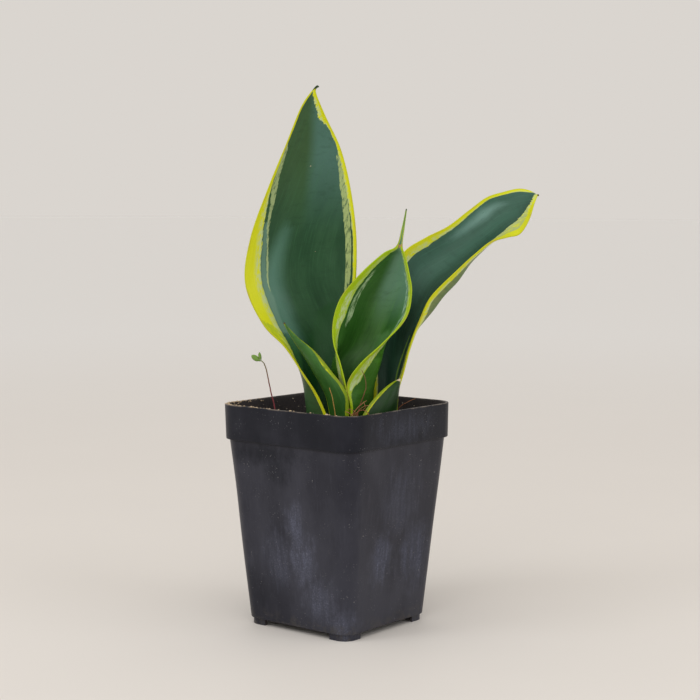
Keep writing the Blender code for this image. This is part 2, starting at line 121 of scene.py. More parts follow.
# %% A small class for finishes
class Finish:
    """A Principled material whose graph is written one node a line."""

    def __init__(self, name, roughness, **settings):
        self.material = bpy.data.materials.new(name)
        self.material.use_nodes = True
        self.tree = self.material.node_tree
        self.shader = self.tree.nodes["Principled BSDF"]
        self.shader.inputs["Roughness"].default_value = roughness
        for key, value in settings.items():
            self.shader.inputs[key.replace("_", " ")].default_value = value

    def put(self, socket, value):
        """Link another node's output into a socket, or set the socket to a value."""
        if isinstance(value, bpy.types.NodeSocket):
            self.tree.links.new(value, socket)
        elif isinstance(value, (tuple, list, Vector)) and len(value) == 3 and socket.type == "RGBA":
            socket.default_value = (*value, 1.0)
        else:
            socket.default_value = value

    def node(self, kind, inputs=(), **settings):
        """Any node, with its settings and with a value or a link for each input named."""
        made = self.tree.nodes.new(kind)
        for key, value in settings.items():
            setattr(made, key, value)
        for key, value in dict(inputs).items():
            self.put(made.inputs[key], value)
        return made

    def measure(self, name):
        """A number that the mesh carries at each point."""
        return self.node("ShaderNodeAttribute", attribute_name=name).outputs["Fac"]

    def math(self, operation, a, b=0.0):
        return self.node("ShaderNodeMath", {0: a, 1: b}, operation=operation).outputs[0]

    def times(self, a, b):
        return self.math("MULTIPLY", a, b)

    def vector(self, x, y, z):
        return self.node("ShaderNodeCombineXYZ", {"X": x, "Y": y, "Z": z}).outputs[0]

    def position(self):
        """Where the point is on the object, in mm."""
        spot = self.node("ShaderNodeTexCoord").outputs["Object"]
        scaled = self.node("ShaderNodeVectorMath", {0: spot, "Scale": 1 / MM}, operation="SCALE")
        return scaled.outputs[0]

    def stretch(self, vector, x, y, z):
        made = self.node("ShaderNodeVectorMath", {0: vector, 1: (x, y, z)}, operation="MULTIPLY")
        return made.outputs[0]

    def cloud(self, vector, size, detail=3.0, rough=0.55):
        """Soft noise from 0 to 1 whose blotches are about size mm wide."""
        made = self.node("ShaderNodeTexNoise", {"Vector": vector, "Scale": 1.0 / size,
                                                "Detail": detail, "Roughness": rough})
        return made.outputs["Fac"]

    def length(self, vector):
        return self.node("ShaderNodeVectorMath", {0: vector}, operation="LENGTH").outputs["Value"]

    def cells(self, vector, size):
        """The distance to the middle of the nearest of many cells about size mm wide."""
        made = self.node("ShaderNodeTexVoronoi", {"Vector": vector, "Scale": 1.0 / size})
        return made.outputs["Distance"]

    def step(self, value, low, high, to_low=0.0, to_high=1.0):
        """A smooth step from to_low to to_high while value goes from low to high."""
        inputs = {"Value": value, "From Min": low, "From Max": high,
                  "To Min": to_low, "To Max": to_high}
        made = self.node("ShaderNodeMapRange", inputs, interpolation_type="SMOOTHSTEP")
        return made.outputs[0]

    def blend(self, share, a, b):
        """Colour a where share is 0, colour b where share is 1."""
        made = self.node("ShaderNodeMix", data_type="RGBA")
        self.put(made.inputs[0], share)
        self.put(made.inputs[6], a)
        self.put(made.inputs[7], b)
        return made.outputs[2]

    def colour(self, value):
        self.put(self.shader.inputs["Base Color"], value)

    def rough(self, value):
        self.put(self.shader.inputs["Roughness"], value)

    def bump(self, height, depth):
        """Let a height from 0 to 1 dent the surface by depth mm."""
        made = self.node("ShaderNodeBump", {"Height": height, "Distance": depth * MM,
                                            "Strength": 1.0})
        self.put(self.shader.inputs["Normal"], made.outputs[0])


def shade(colour, factor, lift=0.0):
    """The same colour made brighter or darker."""
    return tuple(c * factor + lift for c in colour)


def cloudy_finish(name, dark, pale, size, detail, rough, dent, tall=1.0, **settings):
    """A finish that goes from dark to pale in blotches about size mm wide, dented to match."""
    f = Finish(name, **settings)
    blotches = f.cloud(f.stretch(f.position(), 1.0, 1.0, tall), size, detail, rough)
    f.colour(f.blend(blotches, dark, pale))
    f.bump(blotches, dent)
    return f


# %% Helpers that turn points and faces into objects
def new_object(name, points, faces, finish):
    """A mesh object in the scene with one finish."""
    mesh = bpy.data.meshes.new(name)
    mesh.from_pydata([tuple(p) for p in points], [], faces)
    mesh.materials.append(finish.material)
    made = bpy.data.objects.new(name, mesh)
    bpy.context.collection.objects.link(made)
    return made


def make_piece(name, points, faces, finish, slot, measures=None, smooth=True):
    """A visible piece on the root body.  measures holds lists of one number a point."""
    piece = new_object(name, points, faces, finish)
    for key, values in (measures or {}).items():
        layer = piece.data.attributes.new(key, "FLOAT", "POINT")
        layer.data.foreach_set("value", values)
    if smooth:
        piece.data.shade_smooth()
    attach(piece, "root")
    return piece


# %% [markdown]
# ## Floor and light
#
# The plant stands on a plain pale floor under soft daylight.  The sky gives most of the light and
# has nearly the floor's own colour.  The floor is painted lighter away from the pot, as painted
# light that stands in for the lamps' light falling off there, so the horizon is quiet.  A wide soft
# sun from the front left gives the shapes their slight modelling, and two large lamps, one on each
# side, draw the sheen on the leaves.

# %% Floor
FLOOR_REACH = 40.0    # metres
# painted light: the far floor is lighter than the near one, standing in for the lamps' light that
# falls off away from the pot
NEAR_FLOOR = (0.722, 0.690, 0.655)
FAR_FLOOR_PAINTED_LIGHT = (0.800, 0.792, 0.782)
FLOOR_PAINTED_LIGHT_FADE = (200.0, 2500.0)    # mm from the pot, from the near colour to the far one

floor_finish = Finish("pale_floor", roughness=0.6, Specular_IOR_Level=0.15)
floor_spot = floor_finish.position()
floor_cloud = floor_finish.cloud(floor_spot, 160.0, detail=5.0)
near_floor = floor_finish.blend(floor_cloud, NEAR_FLOOR, shade(NEAR_FLOOR, 1.03))
# painted light: the floor turns lighter away from the pot
painted_far_light = floor_finish.step(floor_finish.length(floor_spot), *FLOOR_PAINTED_LIGHT_FADE)
floor_finish.colour(floor_finish.blend(painted_far_light, near_floor, FAR_FLOOR_PAINTED_LIGHT))
floor_corners = [(x * FLOOR_REACH, y * FLOOR_REACH, 0)
                 for x, y in ((-1, -1), (1, -1), (1, 1), (-1, 1))]
floor = new_object("floor", floor_corners, [(0, 1, 2, 3)], floor_finish)
print("floor reaches", FLOOR_REACH, "m each way")

# %% Sun, lamps and sky
SUN_POWER = 0.70
SUN_SPREAD = math.radians(55)
SUN_PLACE = (-250, -800, 1100)
LAMPS = [
    # name, place seen from the front in mm, size in mm, watts, colour
    ("window", (-900, -450, 800), 450, 2.6, (0.96, 0.98, 1.0)),
    ("fill", (1000, -600, 700), 800, 3.2, (0.95, 0.97, 1.0)),
]
SKY_COLOUR = (0.700, 0.665, 0.625)
LIT_HEIGHT = 150    # the height on the pot's axis that every lamp is turned to, in mm


def aim(lamp, place):
    lamp.location = from_front(*place)
    target = in_pot(0, 0, LIT_HEIGHT)
    lamp.rotation_euler = (target - lamp.location).to_track_quat("-Z", "Y").to_euler()
    bpy.context.collection.objects.link(lamp)


sun_data = bpy.data.lights.new("sun", "SUN")
sun_data.energy = SUN_POWER
sun_data.angle = SUN_SPREAD
aim(bpy.data.objects.new("sun", sun_data), SUN_PLACE)
for name, place, size, watts, colour in LAMPS:
    lamp_data = bpy.data.lights.new(name, "AREA")
    lamp_data.size = size * MM
    lamp_data.energy = watts
    lamp_data.color = colour
    aim(bpy.data.objects.new(name, lamp_data), place)

sky = bpy.data.worlds.new("soft_sky")
sky.use_nodes = True
sky.node_tree.nodes["Background"].inputs["Color"].default_value = (*SKY_COLOUR, 1.0)
bpy.context.scene.world = sky
print("lamps:", 1 + len(LAMPS))

# %% [markdown]
# ## The shape of a leaf
#
# A snake plant's leaf is a thick strap that is hollow towards the plant's middle.  One way to make
# it is to sculpt it.  A surer way, and one that can be measured, is to state a few stations along
# the leaf, each with its left edge, its midrib and its right edge, and to draw a smooth sheet
# through them.  A fourth number, the bulge, swells the flanks where a young leaf closes like a
# tube.  The stations are in mm seen from the front.  They follow the solid model's, with slightly
# longer tips on the two big leaves and a tighter seam at the foot of the centre leaf.

# %% Stations of the five leaves
LEAF_TALL = [
    ((-4.5, -15, 120), (-17, 3, 120), (0, 9, 120), 1.5),
    ((-11.5, -11, 137), (-17.5, 8, 137), (0, 11, 137), 1.5),
    ((-21, -5, 151), (-17, 14, 151), (2, 12, 150), 1),
    ((-31.5, 0, 166), (-17, 19, 167), (5, 14, 166), 0),
    ((-45, 4, 180), (-18, 23, 184), (8, 15, 185), 0),
    ((-55.5, 8, 204), (-20, 25, 208), (10.5, 16, 208), 0),
    ((-52.5, 12, 231), (-19, 27, 234), (10.5, 18, 234), 0),
    ((-42, 16, 261), (-18, 28, 262), (7, 21, 261), 0),
    ((-31.5, 20, 287), (-16, 28, 288), (1, 24, 285), 0),
    ((-23, 23, 308.5), (-15.5, 27, 309), (-8.2, 25, 304.5), 0),
    ((-16.8, 25, 318.7), (-15.2, 25.4, 319.2), (-14, 25, 318.8), 0),
    ((-12.9, 25, 322.3), (-12.4, 25.2, 322.8), (-11.9, 25, 322.3), 0),
]
LEAF_SMALL_LEFT = [
    ((-3.5, -13, 120), (1, -18, 120), (5.5, -19.5, 120), 0),
    ((-7, -10.5, 138), (-2, -17, 138), (5.5, -19, 139), 0),
    ((-14.5, -7, 152), (-10, -14, 152), (-4, -15, 153), 0),
    ((-21.5, -5, 163), (-18, -10, 163), (-14, -11, 164.5), 0),
    ((-28, -4.5, 173), (-26.3, -6.5, 172.5), (-24, -7, 172.5), 0),
    ((-32.4, -5, 181), (-32, -5.2, 181), (-31.6, -5, 180.5), 0),
]
LEAF_CENTRE = [
    ((6.1, -14, 120), (9, 4, 120), (7.3, -14, 120), 9),
    ((6.3, -15.5, 132), (10, 5, 132), (7.6, -15.5, 132), 10.5),
    ((4.4, -15, 145), (11, 6, 145), (5.7, -15, 145), 12),
    ((1.5, -13, 157), (13, 8, 157), (13.0, -15, 157), 11),
    ((-2.5, -9, 170), (18, 11, 169), (27, -13, 170), 4),
    ((-2.5, -6, 183), (23, 12, 183), (40, -8, 184), 0),
    ((2.5, -4, 197), (28, 12, 198), (43.5, -5, 199), 0),
    ((14.5, -1, 211), (32, 11, 211), (42, -2, 211), 0),
    ((27, 2, 222), (35, 8, 221), (40, 2, 220), 0),
    ((35, 4.5, 226.5), (36.7, 5.5, 226), (38.2, 4.5, 226.5), 0),
    ((38.2, 6.5, 237), (38.8, 6.8, 237), (39.4, 6.5, 237), 0),
    ((40.6, 8, 248.5), (40.8, 8.1, 248.7), (41, 8, 248.5), 0),
]
LEAF_RIGHT = [
    ((21, 9, 120), (30, 8, 120), (34, -4, 120), 0),
    ((22, 12, 140), (32.5, 10, 138), (36, -4, 140), 0),
    ((22.5, 15, 160), (35, 12, 155), (39, -3, 151), 0.5),
    ((25, 17.5, 180), (39, 14, 171), (43, -2, 167), 1),
    ((31, 20, 200), (45.5, 16.5, 186), (48, -1, 180.5), 1.5),
    ((39.5, 24, 221), (56.5, 20, 202), (56, 0, 196.5), 2.5),
    ((54, 28, 231), (69, 23, 213.5), (68, 1, 209), 2.5),
    ((67, 31, 237.5), (80.5, 26, 223.5), (80, 3, 220), 1.5),
    ((80, 34, 247.2), (91.5, 28, 233), (91, 5, 228.8), 0.5),
    ((91.5, 36, 255.5), (101.5, 29, 241), (101, 7, 232), 0),
    ((102, 37, 259), (109, 29, 246), (109, 10, 234), 0),
    ((111, 36.5, 261), (115, 29, 251), (115, 16, 242), 0),
    ((117.5, 35, 260), (119.6, 30.5, 256), (118.8, 24, 251), 0),
    ((121, 34, 257.8), (121.6, 33, 257), (121.3, 32, 256), 0),
    ((122.8, 33.6, 257.7), (123, 33.3, 257.4), (123.1, 33, 257.1), 0),
]
LEAF_SMALL_RIGHT = [
    ((11.5, -18, 120), (25, -21, 120), (34.5, -11, 120), 0),
    ((17, -18, 131), (28.5, -20, 131), (35.2, -11, 132), 0),
    ((24, -16, 139.5), (32, -17, 139), (36, -10.5, 140), 0),
    ((31, -13, 145.3), (34.6, -13.5, 144.6), (36.6, -10, 144.5), 0),
    ((36.4, -9.5, 148), (36.8, -9.6, 148), (37.2, -9.3, 147.7), 0),
]
LEAVES = (LEAF_TALL, LEAF_SMALL_LEFT, LEAF_CENTRE, LEAF_RIGHT, LEAF_SMALL_RIGHT)
print("stations:", [len(stations) for stations in LEAVES])


# %% Smooth rows through the stations
def smooth_between(before, start, end, after, t):
    """Catmull-Rom blend of four neighbouring values."""
    slope_start = (end - before) / 2
    slope_end = (after - start) / 2
    rest = 2 * start - 2 * end + slope_start + slope_end
    bend = 3 * (end - start) - 2 * slope_start - slope_end
    return ((rest * t + bend) * t + slope_start) * t + start


def smooth_rows(stations, steps):
    """Rows of (left, midrib, right, bulge) through the stations, from the soil to the tip."""
    values = []
    for left, middle, right, bulge in stations:
        values.append([Vector(left), Vector(middle), Vector(right), bulge])
    rows = []
    for i in range(len(values) - 1):
        before = values[max(i - 1, 0)]
        after = values[min(i + 2, len(values) - 1)]
        for step in range(steps):
            group = zip(before, values[i], values[i + 1], after)
            rows.append([smooth_between(a, b, c, d, step / steps) for a, b, c, d in group])
    rows.append(values[-1])
    return rows


# %% [markdown]
# A leaf's edges carry the narrow yellow bands, so the points across it are crowded towards both
# edges.  The sheet also waves a little, because nothing that grew is perfectly smooth.

# %% The middle sheet of a leaf
ROOTED = 4.0      # how far a leaf goes on below the soil, in mm
SWELL_AT = 0.72   # where a swelling is widest, from 0 at the midrib to 1 at the edge


def swell_at(swell, share):
    """How far the sheet is pushed out at this share of the leaf's stations, in mm."""
    for (low, start), (high, end) in zip(swell["stops"], swell["stops"][1:]):
        if low <= share <= high:
            t = (share - low) / (high - low)
            return start + (end - start) * t * t * (3 - 2 * t)
    return 0.0


def across_row(row, count, tall, wave, seed, push):
    """Points from the left edge to the right edge of one row.  push is a vector that swells the
    sheet just inside its right edge."""
    left, middle, right, bulge = row
    half_chord = (right - left) / 2
    depth = (left + right) / 2 - middle
    sideways = Vector((-depth.y, depth.x, 0.0))
    if sideways.length > 0.0:
        sideways.normalize()
    inward = depth.normalized() if depth.length > 0.0 else Vector((0, -1, 0))
    points = []
    for i in range(count + 1):
        t = 2 * i / count - 1
        s = t * (3 - t * t) / 2
        point = middle + s * half_chord + s * s * depth
        point = point + bulge * math.sin(math.pi * s) * sideways
        ripple = noise.noise(Vector((s * 1.7, tall * 0.035, seed)))
        ripple += 0.5 * noise.noise(Vector((s * 4.0, tall * 0.09, seed + 9.0)))
        point += inward * ripple * wave * min(1.0, half_chord.length / 8.0)
        near_edge = max(0.0, 1 - ((s - SWELL_AT) / (1 - SWELL_AT)) ** 2)
        points.append(point + push * near_edge ** 2)
    return points


def leaf_sheet(stations, count, steps, wave, seed, swell, rooted):
    """The middle sheet as a grid of points in mm, with a short rooted part below the soil."""
    rows = smooth_rows(stations, steps)
    grid = []
    tall = 0.0
    previous = rows[0][1]
    for i, row in enumerate(rows):
        tall += (row[1] - previous).length
        previous = row[1]
        push = Vector((0, 0, 0))
        if swell:
            push = Vector(swell["toward"]) * swell_at(swell, i / (len(rows) - 1))
        grid.append(across_row(row, count, tall, wave, seed, push))
    below = (grid[0][count // 2] - grid[1][count // 2]).normalized() * rooted
    return [[point + below for point in grid[0]], *grid]


# %% [markdown]
# The sheet becomes a solid leaf when each row turns into a closed loop: along the inner face from
# left to right, round the thin right edge, back along the outer face, and round the left edge.
# The loop carries what the finish will need at every point: how far it is from each edge, how far
# up the leaf it is, and which face it is on.

# %% Wrap the sheet into a leaf with measures
EDGE_TURNS = (60, 0, -60)    # degrees round the thin edge


def sheet_normal(grid, i, j):
    """Square to the sheet, towards the leaf's hollow face."""
    up = grid[min(i + 1, len(grid) - 1)][j] - grid[max(i - 1, 0)][j]
    side = grid[i][min(j + 1, len(grid[0]) - 1)] - grid[i][max(j - 1, 0)]
    return side.cross(up).normalized()


def loop_round(grid, i, thick_middle, thick_edge, taper):
    """One closed loop: a list of (point, index across, face)."""
    row = grid[i]
    last = len(row) - 1
    faces = {1: [], -1: []}
    halves = []
    normals = []
    for j, point in enumerate(row):
        t = 2 * j / last - 1
        s = t * (3 - t * t) / 2
        half = (thick_edge + (thick_middle - thick_edge) * (1 - abs(s) ** 2.5)) * taper
        normal = sheet_normal(grid, i, j)
        halves.append(half)
        normals.append(normal)
        for face in faces:
            faces[face].append((point + face * half * normal, j, face))
    ends = []
    for j, inner in ((last, last - 1), (0, 1)):
        outward = (row[j] - row[inner]).normalized()
        turned = []
        for angle in EDGE_TURNS:
            angle = math.radians(angle)
            swing = outward * math.cos(angle) + normals[j] * math.sin(angle)
            turned.append((row[j] + swing * halves[j], j, 1 if angle > 0 else -1))
        ends.append(turned)
    return faces[1] + ends[0] + faces[-1][::-1] + ends[1][::-1]


def build_leaf(name, stations, thick, finish, slot, count=72, steps=10, wave=0.35, seed=0.0,
               swell=None, rooted=ROOTED):
    """Make one leaf and give it its measures in mm."""
    grid = leaf_sheet(stations, count, steps, wave, seed, swell, rooted)
    last_row = len(grid) - 1
    points = []
    measures = {"from_left": [], "from_right": [], "run": [], "share": [], "outer": []}
    middle = count // 2
    runs = [-rooted, 0.0]
    for i in range(2, last_row + 1):
        runs.append(runs[-1] + (grid[i][middle] - grid[i - 1][middle]).length)
    for i, row in enumerate(grid):
        reach = [0.0]
        for a, b in zip(row, row[1:]):
            reach.append(reach[-1] + (b - a).length)
        taper = 1.0 - 0.45 * (i / last_row) ** 3
        for point, j, face in loop_round(grid, i, *thick, taper):
            points.append(from_front(*point))
            measures["from_left"].append(reach[j])
            measures["from_right"].append(reach[-1] - reach[j])
            measures["run"].append(runs[i])
            measures["share"].append(max(0.0, runs[i] / runs[-1]))
            measures["outer"].append(0.0 if face > 0 else 1.0)
    ring = len(points) // len(grid)
    faces = []
    for i in range(last_row):
        for k in range(ring):
            a = i * ring + k
            b = i * ring + (k + 1) % ring
            faces.append((a, b, b + ring, a + ring))
    faces.append(tuple(range(ring))[::-1])
    faces.append(tuple(range(last_row * ring, (last_row + 1) * ring)))
    leaf = make_piece(name, points, faces, finish, slot, measures)
    print(name, "run", round(runs[-1]), "mm, faces", len(faces))
    return leaf


# %% [markdown]
# ## The finish of a leaf
#
# The green of a variegated leaf stops at the margin in a slightly ragged line, and the margin is
# not one band: there are thin pale stripes that run with it, mottled by the green below.  Painting
# an image would do it, but an image is fixed in size and hard to change.  Here every stripe is a
# rule: two curves say, for each point up the leaf, how far from the edge the stripe begins and
# ends, in mm, and noise that is long along the leaf and short across it frays its sides.

# %% A stripe that follows a leaf's edge
CURVE_TOP = 24.0    # the widest distance a stripe's curve can state, in mm


def width_curve(finish, share, stops):
    """A distance in mm that changes up the leaf.  stops are (share of the leaf, mm)."""
    made = finish.node("ShaderNodeFloatCurve", {"Value": share})
    curve = made.mapping.curves[0]
    while len(curve.points) < len(stops):
        curve.points.new(0.5, 0.5)
    for point, (at, width) in zip(curve.points, stops):
        point.location = (at, width / CURVE_TOP)
        point.handle_type = "VECTOR"
    made.mapping.update()
    return finish.times(made.outputs[0], CURVE_TOP)


def stripe(finish, share, reach, begin, end, soft=0.3):
    """1 inside the stripe and 0 outside, and how far inside its end a point lies, in mm."""
    to_end = finish.math("SUBTRACT", width_curve(finish, share, end), reach)
    inside = finish.step(to_end, -soft, soft)
    if begin:
        to_begin = finish.math("SUBTRACT", reach, width_curve(finish, share, begin))
        inside = finish.times(inside, finish.step(to_begin, -soft, soft))
    return inside, to_end


# %% [markdown]
# A mark is one such stripe with its colour.  Most marks lie on only a part of the leaf.  Outside
# that part their beginning is stated as far away as it can be and their end as nothing, so that
# no width is left.

# %% Marks: stripes and patches that lie along an edge
def stretch_of_leaf(first, last, begin, end):
    """Stops of a stripe that is there only from one share of the leaf to another."""
    begin = [(0, CURVE_TOP), (first, CURVE_TOP), *begin, (last, CURVE_TOP), (1, CURVE_TOP)]
    end = [(0, 0), (first, 0), *end, (last, 0), (1, 0)]
    return begin, end


def mark(side, begin, end, colour, strength=0.9, broken=0.45, faces="inner", soft=0.25):
    """A stripe's rules.  broken is the noise level below which it disappears, None for whole."""
    return {"side": side, "begin": begin, "end": end, "colour": colour, "strength": strength,
            "broken": broken, "faces": faces, "soft": soft}


# %% [markdown]
# The leaf's finish is laid down like coats of paint: the green tissue, the two margins, the marks
# of that leaf, and last a thin dark rim, the dry tip and a few specks.  Two faces of a leaf differ,
# so the outer face has its own pair of greens.

# %% Green tissue
HAIR_RIM = 0.40     # width of the darker line at a leaf's very edge, in mm
LONG_TEETH = 0.40   # how far the long teeth of a margin's ragged line reach, in mm
SHORT_TEETH = 0.12
DRY_TIP = (0.10, 0.055, 0.025)
RUSTY_RIM = (0.32, 0.18, 0.05)
LEAF_SPECK = (0.50, 0.42, 0.28)


def green_tissue(f, skin, measures, green, halves):
    """Broad tone, faint cross marks, fine lengthwise lines, and painted shade at the foot."""
    from_left, from_right, share, outer = measures
    deep, light, outer_middle, outer_edge = green
    broad = f.cloud(f.stretch(skin, 1.0, 0.35, 1.0), 16.0, 3.0)
    lines = f.cloud(f.stretch(skin, 1.6, 0.05, 1.0), 1.6, 4.0, 0.7)
    marks = f.cloud(f.stretch(skin, 0.35, 1.0, 1.0), 4.0, 5.0, 0.65)
    tissue = f.blend(f.step(broad, 0.35, 0.65), deep, light)
    # painted sheen: halves lays a sheen tint on one half of the upper leaf
    if halves:
        left_tint, right_tint, rises = halves
        rightward = f.step(f.math("SUBTRACT", from_left, from_right), -9.0, 9.0)
        high = f.step(share, rises, rises + 0.3, 0.0, 0.7)
        tissue = f.blend(high, tissue, f.blend(rightward, left_tint, right_tint))
    nearest = f.math("MINIMUM", from_left, from_right)
    outer_green = f.blend(f.step(nearest, 3.0, 14.0), outer_edge, outer_middle)
    bands = f.step(f.cloud(f.stretch(skin, 0.22, 1.0, 1.0), 6.5, 4.0, 0.7), 0.47, 0.60, 0.0, 0.45)
    outer_green = f.blend(bands, outer_green, shade(outer_middle, 1.7, 0.006))
    tissue = f.blend(f.times(outer, 0.9), tissue, outer_green)
    tissue = f.blend(f.step(lines, 0.48, 0.75, 0.0, 0.30), tissue, shade(light, 1.8))
    tissue = f.blend(f.step(marks, 0.50, 0.72, 0.0, 0.25), tissue, shade(deep, 0.6))
    # painted shade: the foot of the leaf, down among the other leaves, is darkened
    return f.blend(f.step(share, 0.0, 0.30, 0.45, 0.0), tissue, shade(deep, 0.5))


# %% The leaf finish
def leaf_finish(name, green, margins, marks=(), halves=None, tip=(0.985, DRY_TIP)):
    """green is (deep, light, outer middle, outer edge).  margins is (left stops, right stops,
    edge colour, inner colour).  halves tints the upper left and the upper right half; one of the
    two tints is a painted sheen."""
    f = Finish(name, roughness=0.36, Specular_IOR_Level=0.20)
    from_left = f.measure("from_left")
    from_right = f.measure("from_right")
    share = f.measure("share")
    outer = f.measure("outer")
    skin = f.vector(from_left, f.measure("run"), f.times(outer, 60.0))
    nearest = f.math("MINIMUM", from_left, from_right)
    colour = green_tissue(f, skin, (from_left, from_right, share, outer), green, halves)

    # the ragged line of the margin: long teeth and short ones
    coarse = f.cloud(f.stretch(skin, 0.5, 0.08, 1.0), 2.2, 3.0, 0.6)
    fine = f.cloud(f.stretch(skin, 1.0, 0.22, 1.0), 0.8, 2.0, 0.6)
    ragged = f.math("ADD", f.step(coarse, 0.3, 0.7, -LONG_TEETH, LONG_TEETH),
                    f.step(fine, 0.3, 0.7, -SHORT_TEETH, SHORT_TEETH))
    shifted = f.math("ADD", share, f.step(fine, 0.3, 0.7, -0.005, 0.005))
    left_stops, right_stops, edge_colour, inner_colour = margins
    mottle = f.cloud(f.stretch(skin, 0.8, 0.30, 1.0), 1.3, 4.0, 0.65)
    veins = f.cloud(f.stretch(skin, 1.6, 0.06, 1.0), 1.2, 3.0)
    for reach, stops in ((from_left, left_stops), (from_right, right_stops)):
        band, to_end = stripe(f, shifted, f.math("ADD", reach, ragged), None, stops)
        pale = f.times(f.step(to_end, 4.8, 1.2), f.step(mottle, 0.38, 0.58, 0.0, 0.95))
        pale = f.times(pale, f.step(reach, 0.8, 2.2))
        margin_colour = f.blend(pale, edge_colour, inner_colour)
        margin_colour = f.blend(f.step(veins, 0.54, 0.74, 0.0, 0.35), margin_colour,
                                shade(edge_colour, 0.78))
        colour = f.blend(band, colour, margin_colour)

    inner_face = f.math("SUBTRACT", 1.0, outer)
    patches = f.cloud(f.stretch(skin, 0.9, 0.25, 1.0), 1.8, 5.0, 0.72)
    for rule in marks:
        reach = from_left if rule["side"] == "left" else from_right
        frayed = f.math("ADD", reach, f.times(ragged, 0.7))
        shown, _ = stripe(f, shifted, frayed, rule["begin"], rule["end"], rule["soft"])
        if rule["faces"] == "inner":
            shown = f.times(shown, inner_face)
        if rule["broken"] is None:
            shown = f.times(shown, rule["strength"])
        else:
            low, high = rule["broken"] - 0.08, rule["broken"] + 0.08
            shown = f.times(shown, f.step(patches, low, high, 0.08, rule["strength"]))
        colour = f.blend(shown, colour, rule["colour"])

    # a hair-thin rim, a dry tip and a few specks
    rust = f.cloud(f.stretch(skin, 1.0, 0.5, 1.0), 9.0, 2.0)
    rim_colour = f.blend(f.step(rust, 0.52, 0.64), shade(edge_colour, 0.75), RUSTY_RIM)
    colour = f.blend(f.step(nearest, 0.0, HAIR_RIM, 0.5, 0.0), colour, rim_colour)
    tip_from, tip_colour = tip
    colour = f.blend(f.step(share, tip_from, tip_from + 0.008), colour, tip_colour)
    speck = f.step(f.cells(skin, 17.0), 0.016, 0.026, 0.7, 0.0)
    f.colour(f.blend(speck, colour, LEAF_SPECK))

    wax = f.cloud(f.stretch(skin, 1.0, 0.5, 1.0), 6.0, 4.0)
    f.rough(f.step(wax, 0.3, 0.7, 0.30, 0.46))
    grooves = f.cloud(f.stretch(skin, 2.0, 0.05, 1.0), 1.5, 3.0, 0.6)
    pores = f.cloud(skin, 0.45, 2.0)
    f.bump(f.math("ADD", grooves, f.times(pores, 0.25)), 0.08)
    return f


# %% [markdown]
# ## Tall leaf
#
# The tallest leaf stands at the back left with its hollow face forward.  Its left margin swells to
# a broad yellow belly half way up, and a thin pale stripe follows it through the green.  The right
# margin is a bright line with a mottled pale band inside it, and near the tip a yellow patch with
# a torn lower end covers the right half.  It ends in a tiny dark point.

# %% Tall leaf
YELLOW = (0.62, 0.645, 0.004)
PALE_YELLOW = (0.50, 0.59, 0.27)
PALE_GREEN = (0.36, 0.45, 0.20)
MOTTLED_GREEN = (0.36, 0.45, 0.17)
DEEP_GREEN = (0.012, 0.055, 0.020)
LEAF_GREEN = (0.023, 0.080, 0.032)
OUTER_GREEN = (0.040, 0.105, 0.028)
OUTER_EDGE = (0.075, 0.130, 0.040)
OLIVE = (0.046, 0.100, 0.032)
BLUE_GREEN_SHEEN = (0.082, 0.180, 0.148)
SHEEN_GREEN = (0.092, 0.215, 0.160)
SLATE_SHEEN = (0.130, 0.245, 0.180)
LIME_EDGE = (0.34, 0.45, 0.02)
PAINTED_LIGHT_FOOT_GREEN = (0.040, 0.135, 0.045)
SHADED_FOOT = (0.008, 0.066, 0.010)
DARK_TIP = (0.03, 0.06, 0.02)

tall_left = [(0, 1.4), (0.09, 1.5), (0.16, 1.8), (0.20, 2.4), (0.24, 4.6), (0.28, 7.8),
             (0.33, 10.2), (0.39, 10.9), (0.45, 10.5), (0.54, 8.9), (0.595, 6.7), (0.65, 3.8),
             (0.70, 1.6), (0.73, 0.7), (0.86, 0.6), (1, 0.6)]
tall_right = [(0, 1.8), (0.3, 1.6), (0.45, 1.8), (0.6, 2.4), (0.7, 2.6), (0.88, 1.9),
              (0.894, 2.2), (0.906, 7.4), (0.94, 5.6), (0.972, 2.4), (1, 0.8)]
upper_sheen = (
    [(0, 24), (0.18, 24), (0.23, 8), (0.34, 11), (0.42, 12), (0.48, 15), (0.56, 20), (0.62, 24),
     (1, 24)],
    [(0, 0), (0.18, 0), (0.23, 18), (0.34, 24), (0.58, 24), (0.64, 12), (0.7, 0), (1, 0)])
lime_end = [(0, 1.4), (0.20, 2.4), (0.24, 4.6), (0.28, 7.8), (0.31, 6.0), (0.33, 0), (1, 0)]
shaded_foot = ([(0, 0), (0.12, 3), (0.33, 3), (0.40, 24), (1, 24)],
               [(0, 24), (0.33, 24), (0.40, 0), (1, 0)])
# painted light: a lighter green low on the left flank, brightening the shade of its deep fold
painted_light_foot = ([(0, 24), (0.06, 3), (0.16, 3), (0.25, 6), (0.30, 24), (1, 24)],
              [(0, 0), (0.06, 9), (0.16, 12), (0.25, 14), (0.30, 0), (1, 0)])
